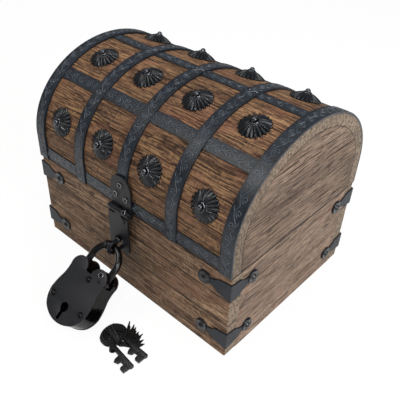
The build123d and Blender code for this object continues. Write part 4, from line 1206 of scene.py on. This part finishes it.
class CHEST_OT_stage(bpy.types.Operator):
    """Lays the pale floor and hangs the soft studio lamps"""

    bl_idname = "chest.stage"
    bl_label = "Stage"

    def execute(self, context):
        work = bmesh.new()
        bmesh.ops.create_grid(work, x_segments=1, y_segments=1, size=4.0)
        bmesh.ops.translate(work, verts=work.verts, vec=(0.0, 0.0, -0.0002))
        mesh = mesh_of(work, "floor")
        floor = bpy.data.objects.new("floor", mesh)
        context.scene.collection.objects.link(floor)
        mesh.materials.append(self.floor_paper())
        for name, place, size, power, tone in (
            ("key_lamp", (-0.5, -0.8, 1.5), 0.6, 9.0, "#fffaf4"),
            ("fill_lamp", (1.4, -0.15, 0.85), 1.0, 19.0, "#f9faff"),
            ("top_lamp", (0.1, 0.3, 1.6), 0.6, 7.0, "#ffffff"),
            ("glint_lamp", (0.5, -0.8, 1.4), 0.16, 5.5, "#ffffff"),
        ):
            data = bpy.data.lights.new(name, "AREA")
            data.size = size
            data.energy = power
            data.color = srgb(tone)[:3]
            lamp = bpy.data.objects.new(name, data)
            lamp.location = place
            aim = Vector((0.0, 0.0, 0.1)) - Vector(place)
            lamp.rotation_euler = aim.to_track_quat("-Z", "Y").to_euler()
            context.scene.collection.objects.link(lamp)
        self.white_room(context.scene)
        context.scene.view_settings.view_transform = "Standard"
        return {"FINISHED"}

    def floor_paper(self):
        """White seamless paper, lit so that it stays white and still takes a faint shadow."""
        material, tree = start_material("seamless paper, matt white")
        rays = add(tree, "LightPath").outputs
        gleam = add(tree, "Math", {0: rays["Is Glossy Ray"], 1: 0.3}, operation="MULTIPLY")
        seen = add(tree, "Math", {0: rays["Is Camera Ray"], 1: gleam}, operation="MAXIMUM")
        share = add(tree, "Math", {0: seen, 1: 0.93}, operation="MULTIPLY")
        place = add(tree, "TexCoord").outputs["Object"]
        # The tooth of the paper, 1.1 mm
        tooth = stretched_noise(tree, place, (900.0,) * 3, 2.0)
        paper = add(tree, "Mix", {0: tooth, 6: srgb("#f2f1ef"), 7: srgb("#f6f5f3")}, data_type="RGBA")
        matt = add(tree, "BsdfDiffuse", {"Color": paper, "Roughness": 0.6})
        lit = add(tree, "Emission", {"Color": grey(1.0), "Strength": 1.0})
        both = add(tree, "MixShader", {0: share, 1: matt, 2: lit})
        add(tree, "OutputMaterial", {"Surface": both})
        return material

    def white_room(self, scene):
        """A room that is white to the camera and lights the chest only softly."""
        world = bpy.data.worlds.new("white room")
        world.use_nodes = True
        tree = world.node_tree
        tree.nodes.clear()
        rays = add(tree, "LightPath").outputs
        seen = {0: rays["Is Camera Ray"], 1: rays["Is Transmission Ray"]}
        seen = add(tree, "Math", seen, operation="MAXIMUM")
        soft = add(tree, "Background", {"Color": srgb("#f7f8fa"), "Strength": 0.32})
        white = add(tree, "Background", {"Color": grey(1.0), "Strength": 1.0})
        both = add(tree, "MixShader", {0: seen, 1: soft, 2: white})
        add(tree, "OutputWorld", {"Surface": both})
        scene.world = world


OPERATORS = (
    CHEST_OT_camera,
    CHEST_OT_thread,
    CHEST_OT_boards,
    CHEST_OT_straps,
    CHEST_OT_rosettes,
    CHEST_OT_brackets,
    CHEST_OT_hinges,
    CHEST_OT_hasp,
    CHEST_OT_padlock,
    CHEST_OT_keys,
    CHEST_OT_stage,
)


class CHEST_PT_panel(bpy.types.Panel):
    """Lists the chest's pieces and their sizes and colours"""

    bl_idname = "CHEST_PT_panel"
    bl_label = "Treasure chest"
    bl_space_type = "VIEW_3D"
    bl_region_type = "UI"
    bl_category = "Chest"

    def draw(self, context):
        for name, kind in GROUPS:
            column = self.layout.box().column()
            for field in kind.__annotations__:
                column.prop(getattr(context.scene, name), field)
        for operator in OPERATORS:
            self.layout.operator(operator.bl_idname)


def register():
    """Registers the properties, the operators and the panel."""
    for name, kind in GROUPS:
        bpy.utils.register_class(kind)
        setattr(bpy.types.Scene, name, bpy.props.PointerProperty(type=kind))
    for operator in OPERATORS:
        bpy.utils.register_class(operator)
    bpy.utils.register_class(CHEST_PT_panel)


def unregister():
    """Takes them out again, in the opposite order."""
    bpy.utils.unregister_class(CHEST_PT_panel)
    for operator in reversed(OPERATORS):
        bpy.utils.unregister_class(operator)
    for name, kind in reversed(GROUPS):
        delattr(bpy.types.Scene, name)
        bpy.utils.unregister_class(kind)


def main():
    """Builds the whole chest."""
    register()
    for operator in OPERATORS:
        group, name = operator.bl_idname.split(".")
        getattr(getattr(bpy.ops, group), name)()


if __name__ == "__main__":
    main()
